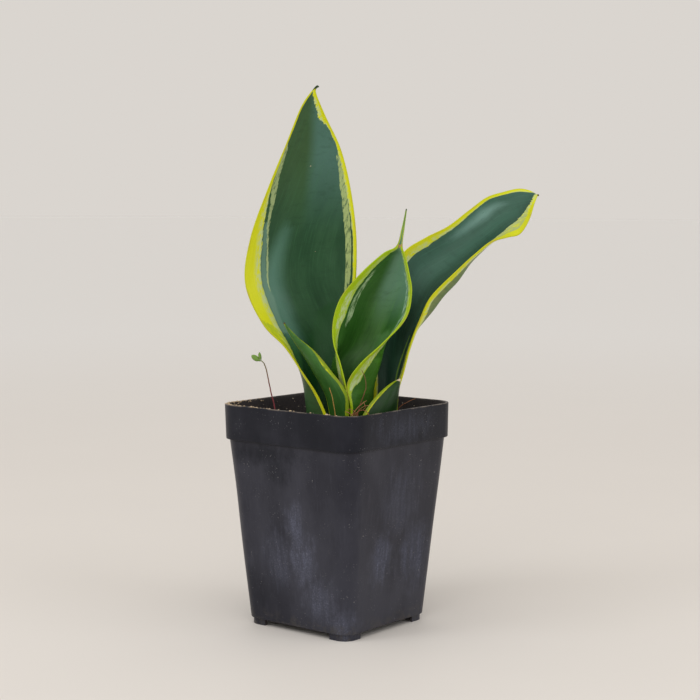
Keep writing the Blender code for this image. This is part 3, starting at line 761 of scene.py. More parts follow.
# painted reflection: a bluish-grey band of sky sheen inside the left margin
slate_sheen_band = stretch_of_leaf(
    0.26, 0.63,
    [(0.28, 8.1), (0.33, 10.5), (0.39, 11.2), (0.45, 10.8), (0.54, 9.2), (0.60, 6.8)],
    [(0.28, 13), (0.39, 16.5), (0.54, 12.5), (0.60, 10)])
pale_streak = stretch_of_leaf(
    0.39, 0.84,
    [(0.405, 15.2), (0.446, 14.6), (0.487, 14.4), (0.54, 12.2), (0.595, 8.9), (0.65, 5.8),
     (0.675, 4.1), (0.705, 1.9), (0.745, 0.8), (0.83, 0.5)],
    [(0.405, 15.7), (0.446, 16.0), (0.487, 15.7), (0.54, 13.5), (0.595, 10.6), (0.65, 8.5),
     (0.675, 7.3), (0.705, 5.8), (0.745, 4.4), (0.80, 2.6), (0.83, 0.8)])
mottled_band = (
    [(0, 24), (0.27, 24), (0.28, 3.8), (0.45, 3.6), (0.6, 3.1), (0.8, 2.2), (0.85, 24), (1, 24)],
    [(0, 0), (0.27, 0), (0.28, 6.4), (0.45, 7.2), (0.6, 7.4), (0.7, 6.5), (0.8, 4.2),
     (0.85, 1.8), (1, 0)])
tall_marks = [
    mark("left", *upper_sheen, SHEEN_GREEN, 0.75, None, soft=6.0),
    mark("left", [(0, 0), (1, 0)], lime_end, LIME_EDGE, 0.75, 0.44),
    mark("right", *shaded_foot, SHADED_FOOT, 0.6, None, soft=4.0),
    mark("left", *slate_sheen_band, SLATE_SHEEN, 0.75, None, soft=1.0),
    mark("left", *painted_light_foot, PAINTED_LIGHT_FOOT_GREEN, 0.8, None, soft=2.5),
    mark("left", *pale_streak, PALE_GREEN, 0.85, 0.42),
    mark("right", *mottled_band, MOTTLED_GREEN, 0.95, 0.44),
]
# halves: a painted bluish sheen on the upper right half, an olive tint on the upper left
tall_finish = leaf_finish("tall_leaf_skin", (DEEP_GREEN, LEAF_GREEN, OUTER_GREEN, OUTER_EDGE),
                          (tall_left, tall_right, YELLOW, PALE_YELLOW), tall_marks,
                          halves=(OLIVE, BLUE_GREEN_SHEEN, 0.53), tip=(0.982, DARK_TIP))
tall_leaf = build_leaf("tall_leaf", LEAF_TALL, (1.2, 0.5), tall_finish, "leaf_yellow_edged",
                       count=96, steps=12, seed=1.0)
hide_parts("leaf_tall")

# %% [markdown]
# ## Right leaf
#
# The second big leaf leans far to the right and twists, so that its lower half is seen almost
# along its own sheet.  That is why its lower band is stated much wider than it looks.  Half way up
# the sheet swells out below the edge and shows its grey-olive outer face.

# %% Right leaf
DARK_BLUE_GREEN = (0.020, 0.054, 0.038)
TEAL = (0.036, 0.105, 0.072)
OUTER_OLIVE = (0.19, 0.23, 0.085)
TEAL_SHEEN = (0.170, 0.310, 0.270)
UPPER_TEAL_SHEEN = (0.042, 0.115, 0.080)
LOWER_TEAL_SHADE = (0.022, 0.065, 0.040)
GREEN_LINE = (0.20, 0.35, 0.04)
LOBE_GREEN = (0.36, 0.44, 0.19)

right_upper = [(0, 2.0), (0.3, 2.5), (0.42, 5.0), (0.5, 5.6), (0.58, 5.0), (0.64, 3.2),
               (0.70, 2.4), (0.77, 1.8), (0.84, 1.2), (0.89, 1.9), (0.94, 2.4), (0.98, 2.6),
               (1, 3.0)]
right_lower = [(0, 4.0), (0.1, 4.6), (0.2, 5.4), (0.295, 5.0), (0.39, 3.6), (0.5, 2.6),
               (0.6, 2.8), (0.68, 3.8), (0.75, 6.0), (0.79, 10.0), (0.84, 15.0), (0.89, 16.5),
               (0.94, 12.0), (0.97, 8.0), (1, 4.0)]
teal_sheen = (
    [(0, 24), (0.54, 14), (0.70, 6.0), (0.80, 4.5), (0.86, 7.0), (0.95, 14), (1, 24)],
    [(0, 0), (0.54, 4.0), (0.70, 8.0), (0.80, 10.0), (0.86, 8.0), (0.95, 3.0), (1, 0)])
green_line = (
    [(0, 24), (0.05, 9.0), (0.1, 9.4), (0.2, 10.6), (0.32, 9.4), (0.34, 24), (1, 24)],
    [(0, 0), (0.05, 11.0), (0.1, 11.4), (0.2, 12.4), (0.32, 10.2), (0.34, 0), (1, 0)])
pale_line = stretch_of_leaf(
    0.36, 0.78,
    [(0.38, 3.8), (0.5, 2.8), (0.6, 3.0), (0.7, 5.0), (0.76, 7.0)],
    [(0.38, 4.8), (0.5, 4.4), (0.6, 5.0), (0.7, 7.5), (0.76, 10.0)])
mottled_lobe = stretch_of_leaf(
    0.78, 0.97,
    [(0.80, 5.0), (0.86, 7.0), (0.93, 6.5)],
    [(0.80, 10.0), (0.84, 14.5), (0.89, 16.0), (0.94, 11.5)])
right_marks = [
    mark("left", *teal_sheen, TEAL_SHEEN, 0.9, 0.36, soft=3.5),
    mark("right", *green_line, GREEN_LINE, 0.9, 0.3),
    mark("right", *pale_line, PALE_GREEN, 0.6, 0.46),
    mark("right", *mottled_lobe, LOBE_GREEN, 0.9, 0.47),
]
# halves: painted sheen on the upper half, painted shade on the lower half
right_finish = leaf_finish(
    "right_leaf_skin", (DARK_BLUE_GREEN, TEAL, OUTER_GREEN, OUTER_OLIVE),
    (right_upper, right_lower, YELLOW, PALE_YELLOW), right_marks,
    halves=(UPPER_TEAL_SHEEN, LOWER_TEAL_SHADE, 0.25), tip=(0.990, DRY_TIP))
right_swell = {"toward": (0.75, 0.0, -0.66),
               "stops": [(0.0, 0.0), (0.25, 0.0), (0.34, 3.0), (0.40, 2.6), (0.49, 0.0),
                         (1.0, 0.0)]}
right_leaf = build_leaf("right_leaf", LEAF_RIGHT, (1.1, 0.5), right_finish, "leaf_yellow_edged",
                        count=80, steps=10, seed=3.0, swell=right_swell)
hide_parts("leaf_right")

# %% [markdown]
# ## Centre leaf
#
# The youngest leaf is still half rolled: its lower edges meet in a seam, so the lower part shows
# its outer face, and its tip is drawn out to a long round awn with a dry joint.  Its green is
# fresher and its margins are lime, blotched with white.

# %% Centre leaf
LIME = (0.40, 0.57, 0.010)
PALE_LIME = (0.47, 0.60, 0.20)
WHITE_LIME = (0.55, 0.66, 0.36)
YOUNG_DEEP = (0.020, 0.085, 0.010)
YOUNG_GREEN = (0.045, 0.140, 0.024)
YOUNG_OUTER = (0.040, 0.140, 0.010)
SOFT_GREEN = (0.090, 0.215, 0.070)
BLOT_GREEN = (0.36, 0.50, 0.28)
GLOSS_HIGHLIGHT_GREEN = (0.36, 0.54, 0.40)
DRY_JOINT = (0.46, 0.22, 0.09)
LEFT_TINT = (0.038, 0.115, 0.024)
RIGHT_SHEEN_TINT = (0.165, 0.320, 0.235)
AWN_TIP = (0.05, 0.08, 0.02)

centre_left = [(0, 1.5), (0.13, 2.2), (0.17, 4.0), (0.20, 6.4), (0.277, 6.2), (0.376, 5.6),
               (0.45, 7.0), (0.5, 8.8), (0.58, 9.4), (0.65, 7.8), (0.705, 6.4), (0.785, 4.0),
               (0.82, 1.0), (0.84, 0), (1, 0)]
centre_right = [(0, 1.5), (0.13, 1.8), (0.165, 4.0), (0.20, 8.2), (0.277, 7.8), (0.33, 6.0),
                (0.38, 4.4), (0.45, 3.4), (0.6, 3.6), (0.7, 4.4), (0.785, 3.0), (0.82, 0.8),
                (0.84, 0), (1, 0)]
fold_light = stretch_of_leaf(0.16, 0.48, [(0.2, 9), (0.40, 8)], [(0.2, 20), (0.40, 23)])
left_blots = stretch_of_leaf(
    0.15, 0.70,
    [(0.17, 1.2), (0.32, 1.2), (0.34, 24), (0.40, 24), (0.44, 2.0), (0.5, 3.0), (0.62, 3.0)],
    [(0.17, 3.6), (0.20, 5.8), (0.32, 5.2), (0.34, 0), (0.40, 0), (0.44, 6.0), (0.5, 8.2),
     (0.62, 7.4)])
right_blots = stretch_of_leaf(
    0.14, 0.40,
    [(0.16, 1.8), (0.28, 2.2), (0.36, 2.0)],
    [(0.165, 3.6), (0.2, 7.6), (0.28, 6.8), (0.36, 4.2)])
row_of_blots = stretch_of_leaf(
    0.43, 0.73,
    [(0.45, 10.8), (0.5, 10.6), (0.58, 10.8), (0.65, 9.4), (0.71, 7.6)],
    [(0.45, 12.0), (0.5, 14.8), (0.58, 14.8), (0.65, 12.6), (0.71, 9.6)])
# painted highlight: a whitish gloss stripe inside the right margin
gloss_highlight = stretch_of_leaf(
    0.38, 0.73,
    [(0.40, 4.6), (0.5, 4.0), (0.7, 4.8)],
    [(0.40, 6.6), (0.5, 6.6), (0.6, 7.0), (0.7, 6.6)])
awn_joint = stretch_of_leaf(0.822, 0.839, [(0.825, 0), (0.836, 0)], [(0.825, 24), (0.836, 24)])
centre_marks = [
    mark("right", *fold_light, SOFT_GREEN, 0.75, None, soft=5.0),
    mark("left", *left_blots, WHITE_LIME, 0.85, 0.50, "both"),
    mark("right", *right_blots, WHITE_LIME, 0.85, 0.48, "both"),
    mark("left", *row_of_blots, BLOT_GREEN, 0.9, 0.50),
    mark("right", *gloss_highlight, GLOSS_HIGHLIGHT_GREEN, 0.8, 0.49),
    mark("left", *awn_joint, DRY_JOINT, 0.85, None, "both"),
]
# halves: a bright painted bluish sheen on the upper right half
centre_finish = leaf_finish(
    "centre_leaf_skin", (YOUNG_DEEP, YOUNG_GREEN, YOUNG_OUTER, YOUNG_OUTER),
    (centre_left, centre_right, LIME, PALE_LIME), centre_marks,
    halves=(LEFT_TINT, RIGHT_SHEEN_TINT, 0.40), tip=(0.99, AWN_TIP))
centre_leaf = build_leaf("centre_leaf", LEAF_CENTRE, (0.9, 0.45), centre_finish,
                         "leaf_lime_edged", count=96, steps=10, seed=5.0)
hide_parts("leaf_centre")

# %% [markdown]
# ## Two small outer leaves
#
# Two short leaves wrap the base from outside.  They are seen mostly from their outer faces, which
# are plain dark green, with a narrow bright margin that ends in a dry tip.

# %% Small leaves
SMALL_OUTER = (0.012, 0.052, 0.008)
SHADED_OUTER = (0.007, 0.032, 0.005)
SHADED_GREEN = (0.012, 0.046, 0.008)
NARROW_LIME = (0.20, 0.29, 0.006)
SHADED_LIME = (0.22, 0.30, 0.008)
STRAW_TIP = (0.55, 0.45, 0.30)

small_left_finish = leaf_finish(
    "small_left_skin", (YOUNG_DEEP, YOUNG_GREEN, SMALL_OUTER, SMALL_OUTER),
    ([(0, 1.2), (0.15, 0.7), (0.6, 0.6), (1, 0.8)],
     [(0, 1.3), (0.3, 1.6), (0.5, 2.0), (0.62, 1.4), (0.72, 0.4), (1, 0.2)],
     NARROW_LIME, YELLOW))
small_left_leaf = build_leaf("small_left_leaf", LEAF_SMALL_LEFT, (0.8, 0.4), small_left_finish,
                             "leaf_lime_edged", count=48, steps=12, wave=0.15, seed=7.0)
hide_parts("leaf_small_left")

small_right_finish = leaf_finish(
    "small_right_skin", (SHADED_OUTER, SHADED_GREEN, SHADED_OUTER, SHADED_OUTER),
    ([(0, 2.2), (0.3, 2.4), (0.7, 2.0), (1, 0.8)],
     [(0, 2.6), (0.4, 1.3), (0.7, 0.7), (1, 0.5)], SHADED_LIME, YELLOW),
    tip=(0.93, STRAW_TIP))
small_right_leaf = build_leaf("small_right_leaf", LEAF_SMALL_RIGHT, (0.8, 0.4),
                              small_right_finish, "leaf_lime_edged", count=56, steps=14,
                              wave=0.15, seed=11.0)
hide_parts("leaf_small_right")

# %% [markdown]
# ## Pot
#
# A thin-walled moulded nursery pot: a square body that widens upwards, a deep band under the rim,
# rounded corners that grow towards the top, four low corner feet and five drain holes.  It is
# lofted from rounded squares, outside first and then down the inside, so that it is one solid
# skin.  The walls of the real thing are never quite flat, so a slow wave of a fraction of a
# millimetre runs through both of their faces.

# %% Pot sizes
RIM_HALF = 51.4
RIM_TOP = 132.8
BAND_HALF = 51.0
BAND_BOTTOM = 112.0
BODY_TOP_HALF = 49.3
BODY_BOTTOM_HALF = 39.4
FOOT_HEIGHT = 3.8
WALL = 1.3
RIM_CORNER = 13.0
FOOT_CORNER = 9.0
FOOT_ARM = 13.0
FOOT_INSET = 1.5
FOOT_WALL = 1.8
DRAIN_RADIUS = 4.5
DRAIN_OFFSET = 22.0
DRAIN_SIDES = 32
CORNER_STEPS = 12


# %% Rings and lofts
def corner_arc(half, radius, quarter):
    """Points round one corner of a rounded square, going anticlockwise."""
    start = quarter * math.pi / 2
    centre = Matrix.Rotation(start, 2) @ Vector((half - radius, half - radius))
    points = []
    for i in range(CORNER_STEPS + 1):
        angle = start + i * math.pi / 2 / CORNER_STEPS
        points.append(centre + radius * Vector((math.cos(angle), math.sin(angle))))
    return points


def square_ring(half, radius, z, flats=10):
    """A closed ring of points of a rounded square, with some along its flats too."""
    ring = []
    for quarter in range(4):
        arc = corner_arc(half, radius, quarter)
        following = corner_arc(half, radius, (quarter + 1) % 4)[0]
        ring += arc
        ring += [arc[-1].lerp(following, i / (flats + 1)) for i in range(1, flats + 1)]
    return [Vector((p.x, p.y, z)) for p in ring]


def loft_faces(rings):
    """Faces of a solid that skins rings of equal count, listed one ring after another."""
    count = len(rings[0])
    faces = []
    for row in range(len(rings) - 1):
        for i in range(count):
            a = row * count + i
            b = row * count + (i + 1) % count
            faces.append((a, b, b + count, a + count))
    top = (len(rings) - 1) * count
    faces.append(tuple(range(count))[::-1])
    faces.append(tuple(range(top, top + count)))
    return faces


def loft(rings, place=in_pot):
    """Points in the model and faces of a solid that skins rings in mm."""
    return [place(*p) for ring in rings for p in ring], loft_faces(rings)


def pot_corner(half):
    """The corner radius that goes with a half width: it grows from the foot to the rim."""
    share = (half - BODY_BOTTOM_HALF) / (RIM_HALF - BODY_BOTTOM_HALF)
    return FOOT_CORNER + (RIM_CORNER - FOOT_CORNER) * share


def ring_stack(profile, levels_between):
    """Rings of a profile of (half width, height), with more levels on its long stretches."""
    fine = []
    for (half, z), (next_half, next_z) in zip(profile, profile[1:]):
        cuts = levels_between if abs(next_z - z) > 8.0 else 1
        for i in range(cuts):
            t = i / cuts
            fine.append((half + (next_half - half) * t, z + (next_z - z) * t))
    fine.append(profile[-1])
    return [square_ring(half, pot_corner(half), z) for half, z in fine]


def slow_wave(point):
    """Push a point of the pot's wall in or out a little, more towards the rim."""
    strength = 0.45 * min(1.0, max(0.0, (point.z - 15.0) / 60.0))
    push = noise.noise(Vector((point.x * 0.022, point.y * 0.022, point.z * 0.018)))
    outward = Vector((point.x, point.y, 0.0)).normalized()
    return point + outward * push * strength


# %% Carve one mesh with another
def carve(piece, other, operation):
    """Apply a boolean to a piece and remove the other object."""
    tool = piece.modifiers.new("carve", "BOOLEAN")
    tool.object = other
    tool.operation = operation
    tool.solver = "EXACT"
    ready = piece.evaluated_get(bpy.context.evaluated_depsgraph_get())
    mesh = bpy.data.meshes.new_from_object(ready)
    piece.modifiers.clear()
    piece.data = mesh
    bpy.data.objects.remove(other, do_unlink=True)


# %% [markdown]
# Black polypropylene turns grey with handling.  The finish starts from a dull black and adds what
# use has left, one layer over another: fine upright wipe marks, bluish dusty smudges low on both
# front walls, grey-brown dirt near the floor, a dusty inside, a worn bright line on the rim, and
# pale flecks and specks that lie in drifts.  Painted shade is laid on as well: the band under the
# rim is darkened, and near-black patches lie under the band and low on the left wall.

# %% Pot finish
PLASTIC = (0.0205, 0.0210, 0.0310)
WORN_PLASTIC = (0.0370, 0.0380, 0.0520)
# near-black for painted shade on the band and in patches below it
PAINTED_SHADE_PLASTIC = (0.0045, 0.0055, 0.0110)
DUST = (0.105, 0.113, 0.160)
BRIGHT_DUST = (0.30, 0.31, 0.37)
DIRT = (0.085, 0.076, 0.064)
RIM_DUST = (0.22, 0.18, 0.145)
DUSTY_INSIDE = (0.065, 0.056, 0.058)
FLECK = (0.26, 0.26, 0.27)
SPECK = (0.34, 0.33, 0.32)
DUST_PLACES = [
    # x, y, z from the pot's axis, half width, half height, strength
    (4, -43, 66, 10, 14, 1.0), (9, -43, 46, 11, 20, 0.95), (-8, -42, 44, 15, 18, 0.5),
    (20, -41, 22, 14, 14, 0.75), (36, -39, 9, 11, 9, 0.85), (43, -12, 46, 10, 15, 1.0),
    (43, 20, 44, 16, 20, 0.75), (45, 4, 78, 20, 22, 0.4), (-43, 6, 50, 20, 24, 0.6),
    (0, 43, 58, 18, 26, 0.6), (51, -2, 122, 26, 9, 0.35),
]
# painted shade: near-black patches under the band and low on the left wall
PAINTED_SHADE_PLACES = [
    (-14, -49, 106, 30, 9, 0.8), (-6, -48, 98, 12, 12, 0.7), (-30, -40, 20, 20, 26, 0.6),
    (48, 30, 104, 14, 12, 0.4),
]


def smudges(f, spot, places):
    """Soft uneven clouds round places on the walls.  The strongest one counts at each point."""
    uneven = f.times(f.cloud(f.stretch(spot, 1.0, 1.0, 0.5), 7.0, 6.0, 0.72), 2.6)
    strongest = 0.0
    for x, y, z, wide, tall, strength in places:
        away = f.node("ShaderNodeVectorMath", {0: spot, 1: (-x, -y, -z)}).outputs[0]
        reach = f.length(f.stretch(away, 1 / wide, 1 / wide, 1 / tall))
        smudge = f.step(f.math("ADD", reach, uneven), 1.3, 2.7, strength, 0.0)
        strongest = f.math("MAXIMUM", strongest, smudge)
    return strongest


def scuffed_plastic():
    """Dull black plastic under wear, dust and dirt, with painted shade on and under the band."""
    f = Finish("scuffed_black_plastic", roughness=0.5, Specular_IOR_Level=0.19)
    spot = f.node("ShaderNodeVectorMath", {0: f.position(), 1: -POT_AXIS / MM}).outputs[0]
    height = f.node("ShaderNodeSeparateXYZ", {0: spot}).outputs["Z"]
    normal = f.node("ShaderNodeNewGeometry").outputs["Normal"]
    outward = f.node("ShaderNodeVectorMath", {0: f.stretch(spot, 1.0, 1.0, 0.0), 1: normal},
                     operation="DOT_PRODUCT").outputs["Value"]
    wipes = f.cloud(f.stretch(spot, 1.0, 1.0, 0.09), 2.2, 4.0, 0.65)
    grain = f.cloud(spot, 0.9, 4.0, 0.75)
    tone = f.cloud(f.stretch(spot, 1.0, 1.0, 0.6), 34.0, 4.0)
    drifts = f.cloud(spot, 11.0, 3.0)
    dust = f.times(smudges(f, spot, DUST_PLACES), f.step(wipes, 0.36, 0.60, 0.45, 1.0))
    # painted shade: the band under the rim is darkened
    band_painted_shade = f.times(f.step(height, BAND_BOTTOM - 1.5, BAND_BOTTOM + 0.5),
                      f.step(tone, 0.30, 0.70, 0.95, 0.6))
    near_floor = f.times(f.step(height, 14.0, 2.0, 0.0, 0.45),
                         f.step(f.cloud(spot, 6.0, 5.0, 0.7), 0.46, 0.62))
    inside = f.times(f.step(outward, -2.0, -20.0), f.step(grain, 0.3, 0.7, 0.5, 1.0))
    worn_edge = f.times(f.step(height, RIM_TOP - 0.7, RIM_TOP - 0.1, 0.0, 0.6),
                        f.step(f.cloud(spot, 7.0, 5.0, 0.7), 0.42, 0.62))
    flecks = f.times(f.step(drifts, 0.46, 0.62),
                     f.step(f.cloud(spot, 0.85, 3.0, 0.6), 0.665, 0.71, 0.0, 0.75))
    speck_size = f.step(drifts, 0.46, 0.70, 0.0, 0.075)
    specks = f.times(f.math("LESS_THAN", f.cells(spot, 4.6), speck_size), 0.6)
    layers = [
        (f.step(wipes, 0.5, 0.75, 0.0, 0.22), shade(WORN_PLASTIC, 1.5)),
        # painted shade in patches
        (smudges(f, spot, PAINTED_SHADE_PLACES), PAINTED_SHADE_PLASTIC),
        (band_painted_shade, PAINTED_SHADE_PLASTIC),
        (f.times(dust, f.step(grain, 0.3, 0.7, 0.35, 1.0)), DUST),
        (f.times(dust, f.step(grain, 0.60, 0.72, 0.0, 0.7)), BRIGHT_DUST),
        (near_floor, DIRT),
        (inside, DUSTY_INSIDE),
        (worn_edge, RIM_DUST),
        (flecks, FLECK),
        (specks, SPECK),
    ]
    colour = f.blend(f.step(tone, 0.35, 0.65), PLASTIC, WORN_PLASTIC)
    for share, layer_colour in layers:
        colour = f.blend(share, colour, layer_colour)
    f.colour(colour)
    f.rough(f.step(dust, 0.0, 0.8, 0.38, 0.72))
    f.bump(f.math("ADD", grain, f.times(wipes, 0.6)), 0.05)
    return f


pot_finish = scuffed_plastic()
print("smudges:", len(DUST_PLACES), "dusty,", len(PAINTED_SHADE_PLACES), "dark")

# %% [markdown]
# The shell is one loft.  Its profile starts under the floor, climbs the outside with a small step
# at the band, turns over the rim and comes down the inside.  The feet are thin L-shaped walls that
# are joined on, and the drain holes are drilled through the floor.

# %% Pot solid
LIP = 0.35    # step that rounds the rim's two edges
WALL_LEVELS = 14    # levels on each long stretch of the profile
SHARP_ANGLE = math.radians(38)
profile = [
    (BODY_BOTTOM_HALF - 0.6, FOOT_HEIGHT), (BODY_BOTTOM_HALF - 0.18, FOOT_HEIGHT + 0.18),
    (BODY_BOTTOM_HALF, FOOT_HEIGHT + 0.6), (BODY_TOP_HALF - 0.05, BAND_BOTTOM - 0.9),
    (BODY_TOP_HALF + 0.1, BAND_BOTTOM - 0.25), (BODY_TOP_HALF + 0.5, BAND_BOTTOM),
    (BAND_HALF - 0.5, BAND_BOTTOM), (BAND_HALF - 0.15, BAND_BOTTOM + 0.15),
    (BAND_HALF, BAND_BOTTOM + 0.5), (RIM_HALF, RIM_TOP - LIP),
    (RIM_HALF - 0.3 * LIP, RIM_TOP - 0.3 * LIP), (RIM_HALF - LIP, RIM_TOP),
    (RIM_HALF - WALL + LIP, RIM_TOP), (RIM_HALF - WALL + 0.3 * LIP, RIM_TOP - 0.3 * LIP),
    (RIM_HALF - WALL, RIM_TOP - LIP), (BAND_HALF - WALL, BAND_BOTTOM + WALL + 0.5),
    (BAND_HALF - WALL - 0.4, BAND_BOTTOM + WALL), (BODY_TOP_HALF - WALL + 0.4, BAND_BOTTOM + WALL),
    (BODY_TOP_HALF - WALL, BAND_BOTTOM + 0.6), (BODY_BOTTOM_HALF - WALL, FOOT_HEIGHT + WALL),
]
pot_rings = [[slow_wave(p) for p in ring] for ring in ring_stack(profile, WALL_LEVELS)]
pot_piece = make_piece("nursery_pot", *loft(pot_rings), pot_finish, "black_plastic")

outer_half = BODY_BOTTOM_HALF - FOOT_INSET
inner_half = outer_half - FOOT_WALL
arm = outer_half - FOOT_ARM
for quarter in range(4):
    turn = Matrix.Rotation(quarter * math.pi / 2, 2)
    outer = [turn @ Vector((outer_half, arm)),
             *corner_arc(outer_half, FOOT_CORNER - FOOT_INSET, quarter),
             turn @ Vector((arm, outer_half))]
    inner = [turn @ Vector((inner_half, arm)),
             *corner_arc(inner_half, FOOT_CORNER - FOOT_INSET - 0.8 * FOOT_WALL, quarter),
             turn @ Vector((arm, inner_half))]
    outline = outer + inner[::-1]
    levels = (0.0, 0.9 * FOOT_HEIGHT, FOOT_HEIGHT + 0.5 * WALL)
    rings = [[Vector((p.x, p.y, z)) for p in outline] for z in levels]
    carve(pot_piece, new_object("foot", *loft(rings), pot_finish), "UNION")

for x, y in ((0, 0), (1, 0), (0, 1), (-1, 0), (0, -1)):
    rings = []
    for z in (FOOT_HEIGHT - 1.0, FOOT_HEIGHT + WALL + 1.0):
        ring = []
        for i in range(DRAIN_SIDES):
            angle = i * math.tau / DRAIN_SIDES
            ring.append(Vector((x * DRAIN_OFFSET + DRAIN_RADIUS * math.cos(angle),
                                y * DRAIN_OFFSET + DRAIN_RADIUS * math.sin(angle), z)))
        rings.append(ring)
    carve(pot_piece, new_object("drill", *loft(rings), pot_finish), "DIFFERENCE")
pot_piece.data.shade_smooth()
pot_piece.data.set_sharp_from_angle(angle=SHARP_ANGLE)
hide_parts("pot")
print("pot faces:", len(pot_piece.data.polygons))

# %% [markdown]
# ## Soil and crown
#
# The pot is filled to a little over a centimetre below the rim with dark peat and coconut fibre.
# The fill itself is one solid with an uneven top.  What makes it read as soil is the loose matter
# on it: crumbs of many sizes, a few pale grains, and short fibres lying every way.

# %% Soil finish
DARK_SOIL = (0.012, 0.008, 0.006)
BROWN_SOIL = (0.050, 0.032, 0.021)
SOIL_GRAIN = (0.085, 0.058, 0.040)

soil_finish = Finish("damp_soil", roughness=0.95, Specular_IOR_Level=0.2)
soil_spot = soil_finish.position()
soil_cloud = soil_finish.cloud(soil_spot, 3.0, 6.0, 0.7)
soil_colour = soil_finish.blend(soil_finish.step(soil_cloud, 0.35, 0.65), DARK_SOIL, BROWN_SOIL)
soil_grains = soil_finish.step(soil_finish.cells(soil_spot, 1.3), 0.12, 0.28, 0.5, 0.0)
soil_finish.colour(soil_finish.blend(soil_grains, soil_colour, SOIL_GRAIN))
soil_finish.bump(soil_finish.cloud(soil_spot, 0.9, 5.0, 0.75), 0.8)
print("soil finish:", soil_finish.material.name)

# %% Soil solid
SOIL_TOP = 119.2
SOIL_FALL = 2.6
CROWN_AT = (10.0, -3.0)
CROWN_RADII = (14.0, 8.0)
CROWN_DEPTH = 9.0
CLEAR = 0.3         # gap between the soil and the solids it meets
SOIL_STEPS = 26     # rings from the pot's wall to the crown


def soil_height(x, y):
    """The uneven top of the soil, highest round the crown."""
    away = math.hypot(x, y) / RIM_HALF
    waves = math.sin(0.41 * x + 1.1) * math.cos(0.53 * y) + 0.6 * math.sin(0.9 * y + 0.7 * x)
    return SOIL_TOP - SOIL_FALL * min(away, 1.3) ** 2 + 0.35 * waves * min(1, 2 * away)


def crown_ring(radii, z, count):
    """An oval about the crown, with its first point where a rounded square has its own."""
    ring = []
    for i in range(count):
        angle = (i + 0.5 - count / 8) * math.tau / count - ROSETTE_TURN + math.pi / 4
        place = TURN @ Vector((CROWN_AT[0] + radii[0] * math.cos(angle),
                               CROWN_AT[1] + radii[1] * math.sin(angle), 0.0))
        ring.append(Vector((place.x, place.y, z)))
    return ring


soil_ledge = BAND_BOTTOM + 0.5 * WALL
soil_foot = BODY_BOTTOM_HALF - WALL - 1.0
soil_inner = BODY_TOP_HALF - WALL - 1.0
soil_outer = BAND_HALF - WALL - 1.0
soil_rings = [
    square_ring(soil_foot - 1.0, pot_corner(soil_foot) - 1.0, FOOT_HEIGHT + WALL + CLEAR),
    square_ring(soil_foot, pot_corner(soil_foot), FOOT_HEIGHT + WALL + 1.0),
    square_ring(soil_inner, pot_corner(soil_inner), soil_ledge),
    square_ring(soil_outer, pot_corner(soil_outer), soil_ledge + 1.7),
]
soil_edge = soil_rings[-1]
pit_radii = [radius + CLEAR for radius in CROWN_RADII]
pit = crown_ring(pit_radii, SOIL_TOP, len(soil_edge))
for step in range(SOIL_STEPS + 1):
    ring = []
    for a, b in zip(soil_edge, pit):
        spot = a.lerp(b, step / SOIL_STEPS)
        rough = noise.fractal(Vector((spot.x * 0.35, spot.y * 0.35, 4.0)), 0.8, 2.0, 4)
        rough *= 0.55 * min(1.0, step / 2, (SOIL_STEPS - step) / 2)
        ring.append(Vector((spot.x, spot.y, soil_height(spot.x, spot.y) + rough)))
    soil_rings.append(ring)
soil_rings.append(crown_ring(pit_radii, SOIL_TOP - CROWN_DEPTH - CLEAR, len(soil_edge)))
soil_piece = make_piece("soil_fill", *loft(soil_rings), soil_finish, "potting_soil")
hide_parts("soil")
print("soil rings:", len(soil_rings))


# %% [markdown]
# Loose matter is made of many small lumps, and each is a ball that noise has dented.  They are
# gathered into one mesh a kind, since hundreds of objects would be slow and hard to handle.

# %% Crumbs of soil
def lump(centre, radius, flat, rng):
    """A rough little stone: points and faces of a dented ball, in mm."""
    bm = bmesh.new()
    bmesh.ops.create_icosphere(bm, subdivisions=1, radius=1.0)
    turn = Matrix.Rotation(rng.uniform(0, math.tau), 3, "Z")
    tilt = Matrix.Rotation(rng.uniform(-0.6, 0.6), 3, "X")
    shape = Vector((rng.uniform(0.8, 1.35), rng.uniform(0.65, 1.0), flat))
    shift = Vector((rng.uniform(0, 50), rng.uniform(0, 50), 0))
    points = []
    for vert in bm.verts:
        dent = 1.0 + 0.38 * noise.noise(vert.co * 1.6 + shift)
        local = Vector(a * b for a, b in zip(vert.co * dent, shape))
        points.append(Vector(centre) + turn @ tilt @ local * radius)
    faces = [tuple(v.index for v in face.verts) for face in bm.faces]
    bm.free()
    return points, faces


def gather(parts):
    """Join (points, faces) pairs into one pair."""
    points = []
    faces = []
    for more_points, more_faces in parts:
        first = len(points)
        points += more_points
        faces += [tuple(i + first for i in face) for face in more_faces]
    return points, faces


def make_heap(name, lumps, finish):
    """One piece of many lumps that lie in the pot."""
    points, faces = gather(lumps)
    make_piece(name, [in_pot(*p) for p in points], faces, finish, "potting_soil", smooth=False)


